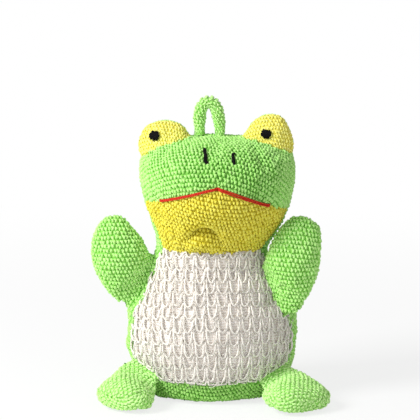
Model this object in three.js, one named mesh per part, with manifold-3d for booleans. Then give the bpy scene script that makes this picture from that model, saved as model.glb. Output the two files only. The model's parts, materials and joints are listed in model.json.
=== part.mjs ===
// Frog bath sponge: a stuffed terry toy with a knitted belly, raised arms, splayed feet and a loop.
// Millimetres, +Z up. The frog faces -Y, and left and right are those of a viewer in front of it.
// The origin is on the floor, under the middle of the toy's box.
import * as THREE from "three";
import { mergeVertices } from "three/addons/utils/BufferGeometryUtils.js";
import Module from "manifold-3d";

const wasm = await Module();
wasm.setup();

// Cloth, seams and clearances
const CLEARANCE = 0.3; // between pieces that touch on the real toy
const CLOTH = 2.4; // terry cloth with its pile
const FILLING_CLEARANCE = 0.8; // between the cloth and the filling
const LINING = 1; // plain cloth behind the belly net
const SEAM_ROLL = 3.2; // diameter of the rolled seam that a limb hangs on

// Body: a pear that is widest at the hips and drawn in at the neck
const HIP_HEIGHT = 42;
const HIP_WIDTH = 103;
const HIP_FRONT = 37; // from the middle to the belly
const HIP_BACK = 33; // from the middle to the back
const NECK_HEIGHT = 92;
const NECK_WIDTH = 67;
const NECK_FRONT = 24;
const NECK_BACK = 24;
const BASE_SINK = 3.3; // how much of the round bottom is pressed flat
const BASE_SEAM_HEIGHT = 12.5; // top of the bottom panel
const SIDE_SEAM_ADVANCE = 11.5; // how far the back panel wraps round to the front

// Head: widest at the cheeks, furthest forward at the mouth
const CHEEK_RISE = 50; // neck seam to the widest level
const CHEEK_WIDTH = 94;
const CROWN_RISE = 17.5; // widest level to the crown
const MOUTH_RISE = 42; // neck seam to the middle of the mouth
const MUZZLE_REACH = 46; // from the middle to the muzzle
const NAPE_RISE = 38; // neck seam to the furthest level of the back of the head
const NAPE_REACH = 31;
const HEAD_LEAN = 3.6; // how far the stuffed head leans to the right
const HEAD_LEAN_RISE = 25; // neck seam to the level where it stops leaning
const HEAD_SEAM_ADVANCE = 12; // how far the back of the head wraps round to the front, at the neck
const HEAD_SEAM_TILT = 11; // degrees backwards
const LEFT_MOUTH_TURN = 50; // degrees round the face, from its middle to the corner of the mouth
const LEFT_MOUTH_DROP = 10;
const RIGHT_MOUTH_TURN = 44; // degrees
const RIGHT_MOUTH_DROP = 12.5;
const CHIN_TUCK_RISE = 13; // neck seam to the dimple in the chin
const CHIN_TUCK_DEPTH = 3;
const CHIN_TUCK_RADIUS = 8;

// Embroidery
const MOUTH_STITCH = 1.8; // thread diameter
const NOSTRIL_THREAD = 1.8;
const NOSTRIL_LENGTH = 7.5; // measured upwards
const LEFT_NOSTRIL_OFFSET = -6.6; // from the middle of the face
const LEFT_NOSTRIL_DROP = 3; // crown to the upper end of the nostril
const RIGHT_NOSTRIL_OFFSET = 10;
const RIGHT_NOSTRIL_DROP = 5;
const PUPIL_DIAMETER = 6;
const PUPIL_THICKNESS = 1;
const LEFT_PUPIL_SHIFT = -3.2; // along the eye's own width
const LEFT_PUPIL_RISE = 6.9; // along the eye's own height
const RIGHT_PUPIL_SHIFT = -3.6;
const RIGHT_PUPIL_RISE = 5;

// Eyes: stuffed domes sewn on the corners of the head
const LEFT_EYE_INSET = 15; // from the widest place of the cheek to the middle of the eye
const LEFT_EYE_WIDTH = 34;
const LEFT_EYE_HEIGHT = 14.5; // above the head
const RIGHT_EYE_INSET = 16.5;
const RIGHT_EYE_WIDTH = 32;
const RIGHT_EYE_HEIGHT = 19;
const EYE_THICKNESS = 19;
const EYE_ADVANCE = 2; // in front of the middle of the head
const EYE_TILT = 22; // degrees outwards

// Arms: paddles that hang on shoulder seams at the sides and reach up
const SHOULDER_DROP = 10; // neck seam to the upper end of the shoulder seam
const ELBOW_REACH = 11.5; // how far the arm leaves the side before it turns up
const ARM_WIDEST = 27; // shoulder seam to the widest place
const ARM_THICKNESS = 23;
const LEFT_SHOULDER_LENGTH = 29; // measured upwards
const LEFT_ARM_LENGTH = 47; // shoulder seam to fingertips
const LEFT_ARM_WIDTH = 34.5;
const LEFT_ARM_TILT = 23.5; // degrees from upright
const LEFT_ARM_TURN = 8; // degrees round the body, from the side to the front
const RIGHT_SHOULDER_LENGTH = 32;
const RIGHT_ARM_LENGTH = 49;
const RIGHT_ARM_WIDTH = 33;
const RIGHT_ARM_TILT = 18.5; // degrees
const RIGHT_ARM_TURN = 29; // degrees

// Feet: flippers that hang on slanting seams at the lower corners and rest on the floor
const FOOT_SEAM_LENGTH = 25;
const FOOT_SEAM_SLOPE = 28; // degrees upwards to the outside
const FOOT_WIDEST = 19; // seam to the widest place
const FOOT_THICKNESS = 20;
const FOOT_SOLE_SINK = 1; // how much of the sole is pressed flat
const LEFT_FOOT_SEAM_HEIGHT = 20;
const LEFT_FOOT_LENGTH = 29.5; // seam to toes
const LEFT_FOOT_TURN = 55; // degrees round the body, from the front to the side
const LEFT_FOOT_WIDTH = 36;
const LEFT_FOOT_SPLAY = 37; // degrees outwards
const RIGHT_FOOT_SEAM_HEIGHT = 17.5;
const RIGHT_FOOT_LENGTH = 34.5;
const RIGHT_FOOT_TURN = 53; // degrees
const RIGHT_FOOT_WIDTH = 41;
const RIGHT_FOOT_SPLAY = 33; // degrees

// Hanging loop: a terry cord with both ends sewn to the crown
const LOOP_THICKNESS = 7;
const LOOP_SPREAD = 13.4; // between the middles of its ends
const LOOP_HEIGHT = 18; // ends to the middle of the cord at the top
const LOOP_SETBACK = 2; // behind the middle of the head
const LOOP_OFFSET = -0.9; // to the right of the body's middle

// Roundness of the stuffed forms, as the power of a superellipse, and how finely they are drawn
const BODY_ROUNDNESS = 2.8;
const HEAD_ROUNDNESS = 2.2;
const ARM_ROUNDNESS = 2.2;
const FOOT_ROUNDNESS = 2.8;
const TRUNK_SIDES = 24;
const TRUNK_FILLING_SIDES = 12;
const LIMB_SIDES = 14;
const LIMB_FILLING_SIDES = 8;
const LIMB_RINGS = 3;
const CAP_RINGS = 4;
const LOOP_STEPS = 16;
const CORD_SIDES = 8;
const THREAD_SIDES = 6;
const TIP_ANGLE = 1.35; // radians, the last ring before a round end is closed
const FAR = 400; // larger than the toy, for cutting

const CHEEK_HEIGHT = NECK_HEIGHT + CHEEK_RISE;
const HEAD_TOP = CHEEK_HEIGHT + CROWN_RISE;
const MOUTH_HEIGHT = NECK_HEIGHT + MOUTH_RISE;
const LEFT = -1;
const RIGHT = 1;
const UP = new THREE.Vector3(0, 0, 1);
const FRONT = new THREE.Vector3(0, -1, 0);
const { lerp, smoothstep, clamp, degToRad } = THREE.MathUtils;

// Solids: a closed geometry as a solid for cutting and joining, and back again
function solidOf(geometry) {
  const bare = geometry.index ? geometry.toNonIndexed() : geometry.clone();
  bare.deleteAttribute("normal");
  bare.deleteAttribute("uv");
  const merged = mergeVertices(bare, 1e-4);
  return new wasm.Manifold(
    new wasm.Mesh({
      numProp: 3,
      vertProperties: merged.attributes.position.array,
      triVerts: new Uint32Array(merged.index.array),
    }),
  );
}

function geometryOf(solid) {
  const mesh = solid.getMesh();
  const geometry = new THREE.BufferGeometry();
  geometry.setAttribute("position", new THREE.BufferAttribute(new Float32Array(mesh.vertProperties), 3));
  geometry.setIndex(new THREE.BufferAttribute(new Uint32Array(mesh.triVerts), 1));
  geometry.computeVertexNormals();
  return geometry;
}

// A closed surface through rings of points, with a point that closes each end.
function loft(rings, start, end) {
  const corners = [];
  const sides = rings[0].length;
  for (let j = 0; j < sides; j++) {
    const k = (j + 1) % sides;
    corners.push(start, rings[0][k], rings[0][j]);
    for (let i = 1; i < rings.length; i++) {
      corners.push(rings[i - 1][j], rings[i - 1][k], rings[i][k]);
      corners.push(rings[i - 1][j], rings[i][k], rings[i][j]);
    }
    corners.push(end, rings.at(-1)[j], rings.at(-1)[k]);
  }
  return solidOf(new THREE.BufferGeometry().setFromPoints(corners));
}

// The space on the far side of a plane, in the direction of its normal and a distance clear of it.
function beyond(point, normal, clear = CLEARANCE / 2) {
  const turn = new THREE.Quaternion().setFromUnitVectors(UP, normal);
  const middle = point.clone().addScaledVector(normal, FAR / 2 + clear);
  const box = new THREE.BoxGeometry(FAR, FAR, FAR).applyQuaternion(turn);
  return solidOf(box.translate(middle.x, middle.y, middle.z));
}

// The two sides of a cut along a plane, half a seam clear of it on each side.
function part(solid, point, normal) {
  const opposite = normal.clone().negate();
  return [solid.intersect(beyond(point, normal)), solid.intersect(beyond(point, opposite))];
}

const atHeight = (z) => new THREE.Vector3(0, 0, z);
const underneath = (z) => beyond(atHeight(z), UP.clone().negate(), 0);

// The size that is left of a round end, from 1 at its widest place to 0 at its tip.
function roundOff(along, power) {
  return (1 - along ** power) ** (1 / power);
}

// A rise from 0 to 1 that starts briskly and levels off.
function easeOut(along) {
  return Math.sin((Math.PI / 2) * clamp(along, 0, 1));
}

// A rise from 0 to 1 that starts and ends gently.
function easeInOut(along) {
  return smoothstep(along, 0, 1);
}

// Evenly spaced steps, and steps that get closer together towards a round end
function evenSteps(from, to, count) {
  return Array.from({ length: count + 1 }, (_, i) => lerp(from, to, i / count));
}

function roundSteps(from, tip, lastAngle, count) {
  return Array.from({ length: count }, (_, i) => lerp(from, tip, Math.sin((lastAngle * (i + 1)) / count)));
}

const anglesOf = (sides) => evenSteps(0, 2 * Math.PI, sides).slice(0, -1);

// Body surface: its half sizes at a height, and points on it
function bodySize(z, hip, neck) {
  if (z < HIP_HEIGHT) return hip * roundOff((HIP_HEIGHT - z) / (HIP_HEIGHT + BASE_SINK), BODY_ROUNDNESS);
  return lerp(hip, neck, easeInOut((z - HIP_HEIGHT) / (NECK_HEIGHT - HIP_HEIGHT)));
}

function bodyPoint(angle, z, inset = 0) {
  const side = bodySize(z, HIP_WIDTH / 2, NECK_WIDTH / 2) - inset;
  const front = bodySize(z, HIP_FRONT, NECK_FRONT) - inset;
  const back = bodySize(z, HIP_BACK, NECK_BACK) - inset;
  const depth = Math.sin(angle) < 0 ? front : back;
  return new THREE.Vector3(side * Math.cos(angle), depth * Math.sin(angle), z);
}

// The body set in by a distance all round, between two heights.
function bodySolid(inset, bottom, top, sides) {
  const lowest = Math.asin((HIP_HEIGHT - bottom) / (HIP_HEIGHT + BASE_SINK));
  const lower = roundSteps(HIP_HEIGHT, -BASE_SINK, lowest, CAP_RINGS).reverse();
  const upper = evenSteps(HIP_HEIGHT, NECK_HEIGHT, CAP_RINGS).slice(0, -1);
  const heights = [...lower, ...upper, top];
  const rings = heights.map((z) => anglesOf(sides).map((angle) => bodyPoint(angle, z, inset)));
  return loft(rings, atHeight(bottom), atHeight(top));
}

// Head surface
function headSize(z, inset, neck, widest, widestHeight) {
  const rise = (z - NECK_HEIGHT) / (widestHeight - NECK_HEIGHT);
  if (rise <= 1) return lerp(neck, widest, easeOut(rise)) - inset;
  return (widest - inset) * roundOff((z - widestHeight) / (HEAD_TOP - inset - widestHeight), HEAD_ROUNDNESS);
}

function headSection(z, inset) {
  return {
    middle: HEAD_LEAN * easeOut((z - NECK_HEIGHT) / HEAD_LEAN_RISE),
    side: headSize(z, inset, NECK_WIDTH / 2, CHEEK_WIDTH / 2, CHEEK_HEIGHT),
    front: headSize(z, inset, NECK_FRONT, MUZZLE_REACH, MOUTH_HEIGHT),
    back: headSize(z, inset, NECK_BACK, NAPE_REACH, NECK_HEIGHT + NAPE_RISE),
  };
}

function headPoint(angle, z, inset) {
  const { middle, side, front, back } = headSection(z, inset);
  const x = side * Math.cos(angle);
  if (Math.sin(angle) >= 0) return new THREE.Vector3(middle + x, back * Math.sin(angle), z);
  const fromTuck = Math.hypot(x, z - NECK_HEIGHT - CHIN_TUCK_RISE) / CHIN_TUCK_RADIUS;
  const tuck = CHIN_TUCK_DEPTH * Math.exp(-fromTuck * fromTuck);
  return new THREE.Vector3(middle + x, front * Math.sin(angle) + tuck, z);
}

// A place on the face, given as it is seen from in front, standing off by a distance.
function onFace(x, z, standoff) {
  const { middle, side } = headSection(z, -standoff);
  return headPoint(-Math.acos((x - middle) / side), z, -standoff);
}

// The height of the crown over a place on the ground.
function crownHeight(x, y) {
  let low = CHEEK_HEIGHT;
  let high = HEAD_TOP;
  while (high - low > 1e-6) {
    const z = (low + high) / 2;
    const { middle, side, front, back } = headSection(z, 0);
    if (Math.hypot((x - middle) / side, y / (y < 0 ? front : back)) < 1) low = z;
    else high = z;
  }
  return low;
}

// The head set in by a distance, from a height upwards.
function headSolid(inset, bottom, sides) {
  const crown = HEAD_TOP - inset;
  const lower = evenSteps(NECK_HEIGHT, CHEEK_HEIGHT, CAP_RINGS + 2).slice(1);
  const upper = roundSteps(CHEEK_HEIGHT, crown, TIP_ANGLE, CAP_RINGS);
  const heights = [bottom, ...lower, ...upper];
  const rings = heights.map((z) => anglesOf(sides).map((angle) => headPoint(angle, z, inset)));
  return loft(rings, atHeight(bottom), new THREE.Vector3(HEAD_LEAN, 0, crown));
}

// Limb: a paddle that widens at once from a straight seam, thickens more slowly and closes in a round tip
function limbSize(along, root, widest, widestAt, rise, power) {
  if (along < widestAt) return lerp(root, widest, rise(along / widestAt));
  return widest * roundOff((along - widestAt) / (1 - widestAt), power);
}

// The limb set in by a distance all round, which then starts clear of the rolled seam.
// A filling is slack as well: it is smaller.
function limbSolid(limb, inset, slack, sides) {
  const { roundness } = limb;
  const from = inset > 0 ? (inset + SEAM_ROLL) / limb.length : 0;
  const to = 1 - (inset + slack) / limb.length;
  const widestAt = limb.widest / limb.length;
  const shrinkAcross = 1 - (inset + slack) / (limb.width / 2);
  const shrinkThick = 1 - (inset + slack) / (limb.thickness / 2);
  const steps = [...evenSteps(0, widestAt, LIMB_RINGS), ...roundSteps(widestAt, 1, TIP_ANGLE, CAP_RINGS)];
  const used = slack > 0 ? steps.slice(1) : steps;
  const rings = used.map((along) => {
    const at = lerp(from, to, along);
    const middle = limb.curve.getPoint(at);
    const across = limb.seam.clone().lerp(limb.tipAcross, easeInOut(at / widestAt)).normalize();
    const up = limb.curve.getTangent(at).cross(across).normalize();
    const half = limbSize(along, limb.seamLength / 2, limb.width / 2, widestAt, easeOut, roundness);
    const thick = limbSize(along, SEAM_ROLL / 2, limb.thickness / 2, widestAt, easeInOut, roundness);
    return anglesOf(sides).map((angle) =>
      middle
        .clone()
        .addScaledVector(across, shrinkAcross * half * Math.cos(angle))
        .addScaledVector(up, shrinkThick * thick * Math.sin(angle)),
    );
  });
  return loft(rings, limb.curve.getPoint(lerp(from, to, used[0])), limb.curve.getPoint(to));
}

// A straight round bar, for a rolled seam or an embroidered spot.
function bar(middle, direction, length, diameter, sides) {
  const turn = new THREE.Quaternion().setFromUnitVectors(new THREE.Vector3(0, 1, 0), direction);
  const rod = new THREE.CylinderGeometry(diameter / 2, diameter / 2, length, sides).applyQuaternion(turn);
  return solidOf(rod.translate(middle.x, middle.y, middle.z));
}

// The two cloth halves of a limb, parted along a plane through its middle, and its stuffing.
// A limb that reaches the floor is pressed flat there.
function limbPieces(limb) {
  const hollow = limbSolid(limb, CLOTH, 0, LIMB_FILLING_SIDES).subtract(underneath(CLOTH));
  const roll = bar(limb.root, limb.seam, limb.seamLength - SEAM_ROLL, SEAM_ROLL, CORD_SIDES);
  const skin = limbSolid(limb, 0, 0, LIMB_SIDES).add(roll).subtract(hollow).subtract(underneath(0));
  const filling = limbSolid(limb, CLOTH, FILLING_CLEARANCE, LIMB_FILLING_SIDES);
  return {
    halves: part(skin, limb.root, limb.parting),
    stuffing: filling.subtract(underneath(CLOTH + FILLING_CLEARANCE)),
  };
}

// The direction that points away from the body where two directions lie along its surface.
function awayFrom(body, along, round) {
  const outwards = along.clone().cross(round).normalize();
  return outwards.dot(new THREE.Vector3(body.x, body.y, 0)) < 0 ? outwards.negate() : outwards;
}

// The level direction along the body's surface, towards the back on the side that is given.
function roundTheBody(angle, z, side) {
  const step = 0.01;
  return bodyPoint(angle + side * step, z).sub(bodyPoint(angle, z)).normalize();
}

// Arm: its seam is a straight line beside the flank, as near to it as the rolled seam allows.
function armOf(side, { shoulder, length, width, tilt, turn }) {
  const angle = side === RIGHT ? -degToRad(turn) : Math.PI + degToRad(turn);
  const high = bodyPoint(angle, NECK_HEIGHT - SHOULDER_DROP);
  const low = bodyPoint(angle, NECK_HEIGHT - SHOULDER_DROP - shoulder);
  const seam = high.clone().sub(low).normalize();
  const root = high.clone().add(low).multiplyScalar(0.5);
  const outwards = awayFrom(root, seam, roundTheBody(angle, root.z, side));
  const heights = evenSteps(low.z, high.z, TRUNK_SIDES);
  const bulge = Math.max(...heights.map((z) => bodyPoint(angle, z).sub(low).dot(outwards)));
  root.addScaledVector(outwards, bulge + SEAM_ROLL / 2 + CLEARANCE);
  const lean = degToRad(tilt);
  const reach = new THREE.Vector3(side * Math.sin(lean), 0, Math.cos(lean));
  const tip = root.clone().addScaledVector(reach, length);
  const elbow = root.clone().addScaledVector(outwards, ELBOW_REACH);
  return {
    side,
    root,
    seam,
    seamLength: high.distanceTo(low),
    curve: new THREE.QuadraticBezierCurve3(root, elbow, tip),
    tipAcross: new THREE.Vector3(-side * reach.z, 0, side * reach.x),
    parting: seam.clone().cross(reach).multiplyScalar(-side).normalize(),
    length,
    widest: ARM_WIDEST,
    width,
    thickness: ARM_THICKNESS,
    roundness: ARM_ROUNDNESS,
  };
}

// Foot: its slanting seam touches the round lower corner of the body at the middle.
function footOf(side, { seamHeight, length, width, splay, turn }) {
  const angle = -Math.PI / 2 + side * degToRad(turn);
  const touch = bodyPoint(angle, seamHeight);
  const round = roundTheBody(angle, seamHeight, side);
  const upwards = bodyPoint(angle, seamHeight + CLEARANCE).sub(touch).normalize();
  const outwards = awayFrom(touch, upwards, round);
  const slope = degToRad(FOOT_SEAM_SLOPE);
  const seam = round.multiplyScalar(Math.cos(slope)).addScaledVector(upwards, Math.sin(slope)).normalize();
  const root = touch.clone().addScaledVector(outwards, SEAM_ROLL / 2 + CLEARANCE);
  const turned = degToRad(splay);
  const forwards = new THREE.Vector3(side * Math.sin(turned), -Math.cos(turned), 0);
  const tipAcross = new THREE.Vector3(side * Math.cos(turned), Math.sin(turned), 0);
  const tip = root.clone().addScaledVector(forwards, length).setZ(FOOT_THICKNESS / 2 - FOOT_SOLE_SINK);
  const instep = root.clone().lerp(tip, 0.5).setZ(tip.z + FOOT_SOLE_SINK);
  return {
    side,
    root,
    seam,
    seamLength: FOOT_SEAM_LENGTH,
    curve: new THREE.QuadraticBezierCurve3(root, instep, tip),
    tipAcross,
    parting: tipAcross.clone().cross(tip.clone().sub(root)).multiplyScalar(-side).normalize(),
    length,
    widest: FOOT_WIDEST,
    width,
    thickness: FOOT_THICKNESS,
    roundness: FOOT_ROUNDNESS,
  };
}

// Eye: an ellipsoid tilted outwards, its middle on the head's corner, cut off by the head
function eyeFrame(side, inset, width, height) {
  const x = HEAD_LEAN + side * (CHEEK_WIDTH / 2 - inset);
  const middle = new THREE.Vector3(x, -EYE_ADVANCE, crownHeight(x, -EYE_ADVANCE));
  const tilt = side * degToRad(EYE_TILT);
  const turn = new THREE.Quaternion().setFromAxisAngle(new THREE.Vector3(0, 1, 0), tilt);
  return { middle, turn, half: new THREE.Vector3(width / 2, EYE_THICKNESS / 2, height) };
}

function eyeBall(frame, inset, sides) {
  const half = frame.half.clone().subScalar(inset);
  const ball = new THREE.SphereGeometry(1, sides, sides / 2).scale(half.x, half.y, half.z);
  return solidOf(ball.applyQuaternion(frame.turn).translate(...frame.middle.toArray()));
}

function eyePieces(frame) {
  const head = headSolid(-CLEARANCE, NECK_HEIGHT, TRUNK_SIDES);
  const hollow = eyeBall(frame, CLOTH, LIMB_FILLING_SIDES);
  return {
    halves: part(eyeBall(frame, 0, LIMB_SIDES).subtract(hollow).subtract(head), frame.middle, FRONT),
    stuffing: eyeBall(frame, CLOTH + FILLING_CLEARANCE, LIMB_FILLING_SIDES).subtract(head),
  };
}

// Pupil: a round satin-stitched spot that lies on the front of the eye
function pupilSolid(frame, shift, rise) {
  const { half } = frame;
  const away = Math.sqrt(1 - (shift / half.x) ** 2 - (rise / half.z) ** 2);
  const spot = new THREE.Vector3(shift, -half.y * away, rise);
  const normal = spot.clone().divide(half).divide(half).normalize();
  spot.addScaledVector(normal, CLEARANCE + PUPIL_THICKNESS / 2);
  spot.applyQuaternion(frame.turn).add(frame.middle);
  return bar(spot, normal.applyQuaternion(frame.turn), PUPIL_THICKNESS, PUPIL_DIAMETER, LIMB_SIDES);
}

// A round cord along a curve, as a closed tube.
function cord(curve, diameter, steps, sides) {
  const section = new THREE.Shape(
    anglesOf(sides).map((a) => new THREE.Vector2(Math.cos(a), Math.sin(a)).multiplyScalar(diameter / 2)),
  );
  return solidOf(new THREE.ExtrudeGeometry(section, { extrudePath: curve, steps, bevelEnabled: false }));
}

// A stitch that lies on the face between two places, as they are seen from in front.
function stitchOnFace(from, to, diameter) {
  const places = evenSteps(0, 1, CAP_RINGS).map((share) => from.clone().lerp(to, share));
  const points = places.map((place) => onFace(place.x, place.y, diameter / 2 + CLEARANCE));
  return cord(new THREE.CatmullRomCurve3(points), diameter, 2 * CAP_RINGS, THREAD_SIDES);
}

// Mouth: two straight lines, as seen from in front, from the middle of the face down to the corners
const faceMiddle = headSection(MOUTH_HEIGHT, 0).middle;
const mouthMiddle = new THREE.Vector2(faceMiddle, MOUTH_HEIGHT);

function mouthCorner(side, turn, drop) {
  const z = MOUTH_HEIGHT - drop;
  const section = headSection(z, 0);
  return new THREE.Vector2(section.middle + side * section.side * Math.sin(degToRad(turn)), z);
}

const mouthLeft = mouthCorner(LEFT, LEFT_MOUTH_TURN, LEFT_MOUTH_DROP);
const mouthRight = mouthCorner(RIGHT, RIGHT_MOUTH_TURN, RIGHT_MOUTH_DROP);

function mouthStitch(corner) {
  const start = mouthMiddle.clone().lerp(corner, MOUTH_STITCH / mouthMiddle.distanceTo(corner));
  return stitchOnFace(start, corner, MOUTH_STITCH);
}

// The space under the mouth's lines, lowered by a distance, which parts the chin from the upper face.
function underMouth(drop) {
  const farLeft = mouthMiddle.clone().lerp(mouthLeft, FAR / mouthMiddle.distanceTo(mouthLeft));
  const farRight = mouthMiddle.clone().lerp(mouthRight, FAR / mouthMiddle.distanceTo(mouthRight));
  const floorLeft = new THREE.Vector2(farLeft.x, -FAR);
  const floorRight = new THREE.Vector2(farRight.x, -FAR);
  const corners = [farLeft, floorLeft, floorRight, farRight, mouthMiddle];
  const outline = new THREE.Shape(corners.map((corner) => new THREE.Vector2(corner.x, corner.y - drop)));
  const wedge = new THREE.ExtrudeGeometry(outline, { depth: FAR, bevelEnabled: false });
  return solidOf(wedge.rotateX(Math.PI / 2).translate(0, FAR / 2, 0));
}

function nostril(offset, drop) {
  const top = new THREE.Vector2(faceMiddle + offset, HEAD_TOP - drop);
  return stitchOnFace(new THREE.Vector2(top.x, top.y - NOSTRIL_LENGTH), top, NOSTRIL_THREAD);
}

// Hanging loop: an arch whose round ends sit on the crown
const loopEnds = [LOOP_OFFSET - LOOP_SPREAD / 2, LOOP_OFFSET + LOOP_SPREAD / 2];
const loopCrown = Math.max(...loopEnds.map((x) => crownHeight(x, LOOP_SETBACK)));
const loopSeat = new THREE.Vector3(LOOP_OFFSET, LOOP_SETBACK, loopCrown + LOOP_THICKNESS / 2 + CLEARANCE);

function loopSolid() {
  const points = evenSteps(0, Math.PI, LOOP_STEPS).map((angle) => {
    const sideways = (-LOOP_SPREAD / 2) * Math.cos(angle);
    return loopSeat.clone().add(new THREE.Vector3(sideways, 0, LOOP_HEIGHT * Math.sin(angle)));
  });
  const arch = cord(new THREE.CatmullRomCurve3(points), LOOP_THICKNESS, LOOP_STEPS, CORD_SIDES);
  const knobs = loopEnds.map((x) => {
    const knob = new THREE.SphereGeometry(LOOP_THICKNESS / 2, CORD_SIDES, CORD_SIDES / 2);
    return solidOf(knob.rotateX(Math.PI / 2).translate(x, loopSeat.y, loopSeat.z));
  });
  return knobs.reduce((whole, knob) => whole.add(knob), arch);
}

// Materials
function cloth(color, roughness = 0.95) {
  return new THREE.MeshStandardMaterial({ color, roughness, metalness: 0 });
}

const greenTerry = cloth(0x86cf5b);
const yellowTerry = cloth(0xded44f);
const bastNet = cloth(0xe2d6c8);
const liningCloth = cloth(0xd8ccc4);
const blackThread = cloth(0x0c0a0c, 0.6);
const redThread = cloth(0xd8260f, 0.6);
const foam = cloth(0xf0e6c8);
const fibrefill = cloth(0xf4f4f2);

const toy = new THREE.Group();

function piece(name, solid, material) {
  const mesh = new THREE.Mesh(geometryOf(solid), material);
  mesh.name = name;
  toy.add(mesh);
}

// Body panels, the lining behind the net and the sponge inside
const bodyTop = NECK_HEIGHT - CLEARANCE / 2;
const spaceTop = NECK_HEIGHT + CLOTH;
const bodyHollow = bodySolid(CLOTH, CLOTH, spaceTop, TRUNK_FILLING_SIDES);
const bodySkin = bodySolid(0, 0, bodyTop, TRUNK_SIDES).subtract(bodyHollow);
const sideSeam = new THREE.Vector3(0, -SIDE_SEAM_ADVANCE, 0);
const [upperSkin, baseSkin] = part(bodySkin, atHeight(BASE_SEAM_HEIGHT), UP);
const [bellySkin, backSkin] = part(upperSkin, sideSeam, FRONT);
piece("belly_net", bellySkin, bastNet);
piece("body_back", backSkin, greenTerry);
piece("body_base", baseSkin, greenTerry);
const liningOutside = CLOTH + CLEARANCE;
const liningInside = liningOutside + LINING;
const liningHollow = bodySolid(liningInside, liningInside, spaceTop, TRUNK_FILLING_SIDES);
const liningBulk = bodySolid(liningOutside, liningOutside, bodyTop, TRUNK_FILLING_SIDES);
const upperLining = liningBulk.subtract(liningHollow).intersect(beyond(atHeight(BASE_SEAM_HEIGHT), UP));
piece("belly_lining", upperLining.intersect(beyond(sideSeam, FRONT)), liningCloth);
const spongeInset = liningInside + FILLING_CLEARANCE;
piece("body_sponge", bodySolid(spongeInset, spongeInset, bodyTop, TRUNK_FILLING_SIDES), foam);

// Head panels, stuffing and the stitches on the face
const headBottom = NECK_HEIGHT + CLEARANCE / 2;
const headHollow = headSolid(CLOTH, NECK_HEIGHT - CLOTH, TRUNK_FILLING_SIDES);
const headSkin = headSolid(0, headBottom, TRUNK_SIDES).subtract(headHollow);
const headSeam = new THREE.Vector3(0, -HEAD_SEAM_ADVANCE, NECK_HEIGHT);
const headSeamTilt = degToRad(HEAD_SEAM_TILT);
const headSeamFront = new THREE.Vector3(0, -Math.cos(headSeamTilt), Math.sin(headSeamTilt));
const [face, nape] = part(headSkin, headSeam, headSeamFront);
const brow = face.subtract(underMouth(-CLEARANCE / 2));
const [browLeft, browRight] = part(brow, new THREE.Vector3(faceMiddle, 0, 0), new THREE.Vector3(-1, 0, 0));
piece("head_top_left", browLeft, greenTerry);
piece("head_top_right", browRight, greenTerry);
piece("chin", face.intersect(underMouth(CLEARANCE / 2)), yellowTerry);
piece("head_back", nape, greenTerry);
piece("head_stuffing", headSolid(CLOTH + FILLING_CLEARANCE, headBottom, TRUNK_FILLING_SIDES), fibrefill);
piece("left_mouth_stitch", mouthStitch(mouthLeft), redThread);
piece("right_mouth_stitch", mouthStitch(mouthRight), redThread);
piece("left_nostril", nostril(LEFT_NOSTRIL_OFFSET, LEFT_NOSTRIL_DROP), blackThread);
piece("right_nostril", nostril(RIGHT_NOSTRIL_OFFSET, RIGHT_NOSTRIL_DROP), blackThread);

// Eyes
const leftEye = eyeFrame(LEFT, LEFT_EYE_INSET, LEFT_EYE_WIDTH, LEFT_EYE_HEIGHT);
const rightEye = eyeFrame(RIGHT, RIGHT_EYE_INSET, RIGHT_EYE_WIDTH, RIGHT_EYE_HEIGHT);
const eyes = [
  { name: "left", frame: leftEye, shift: LEFT_PUPIL_SHIFT, rise: LEFT_PUPIL_RISE },
  { name: "right", frame: rightEye, shift: RIGHT_PUPIL_SHIFT, rise: RIGHT_PUPIL_RISE },
];
for (const { name, frame, shift, rise } of eyes) {
  const { halves, stuffing } = eyePieces(frame);
  piece(`${name}_eye_front`, halves[0], yellowTerry);
  piece(`${name}_eye_back`, halves[1], greenTerry);
  piece(`${name}_eye_stuffing`, stuffing, fibrefill);
  piece(`${name}_pupil`, pupilSolid(frame, shift, rise), blackThread);
}

// Arms and feet
const leftArm = armOf(LEFT, {
  shoulder: LEFT_SHOULDER_LENGTH,
  length: LEFT_ARM_LENGTH,
  width: LEFT_ARM_WIDTH,
  tilt: LEFT_ARM_TILT,
  turn: LEFT_ARM_TURN,
});
const rightArm = armOf(RIGHT, {
  shoulder: RIGHT_SHOULDER_LENGTH,
  length: RIGHT_ARM_LENGTH,
  width: RIGHT_ARM_WIDTH,
  tilt: RIGHT_ARM_TILT,
  turn: RIGHT_ARM_TURN,
});
const leftFoot = footOf(LEFT, {
  seamHeight: LEFT_FOOT_SEAM_HEIGHT,
  length: LEFT_FOOT_LENGTH,
  width: LEFT_FOOT_WIDTH,
  splay: LEFT_FOOT_SPLAY,
  turn: LEFT_FOOT_TURN,
});
const rightFoot = footOf(RIGHT, {
  seamHeight: RIGHT_FOOT_SEAM_HEIGHT,
  length: RIGHT_FOOT_LENGTH,
  width: RIGHT_FOOT_WIDTH,
  splay: RIGHT_FOOT_SPLAY,
  turn: RIGHT_FOOT_TURN,
});
const limbs = [
  { name: "left_arm", sides: ["front", "back"], limb: leftArm },
  { name: "right_arm", sides: ["front", "back"], limb: rightArm },
  { name: "left_foot", sides: ["top", "sole"], limb: leftFoot },
  { name: "right_foot", sides: ["top", "sole"], limb: rightFoot },
];
for (const { name, sides, limb } of limbs) {
  const { halves, stuffing } = limbPieces(limb);
  piece(`${name}_${sides[0]}`, halves[0], greenTerry);
  piece(`${name}_${sides[1]}`, halves[1], greenTerry);
  piece(`${name}_stuffing`, stuffing, fibrefill);
}

piece("hanging_loop", loopSolid(), greenTerry);

// The origin goes under the middle of the whole toy.
const box = new THREE.Box3().setFromObject(toy);
const toOrigin = box.getCenter(new THREE.Vector3()).setZ(box.min.z).negate();
for (const mesh of toy.children) mesh.position.copy(toOrigin);

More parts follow.
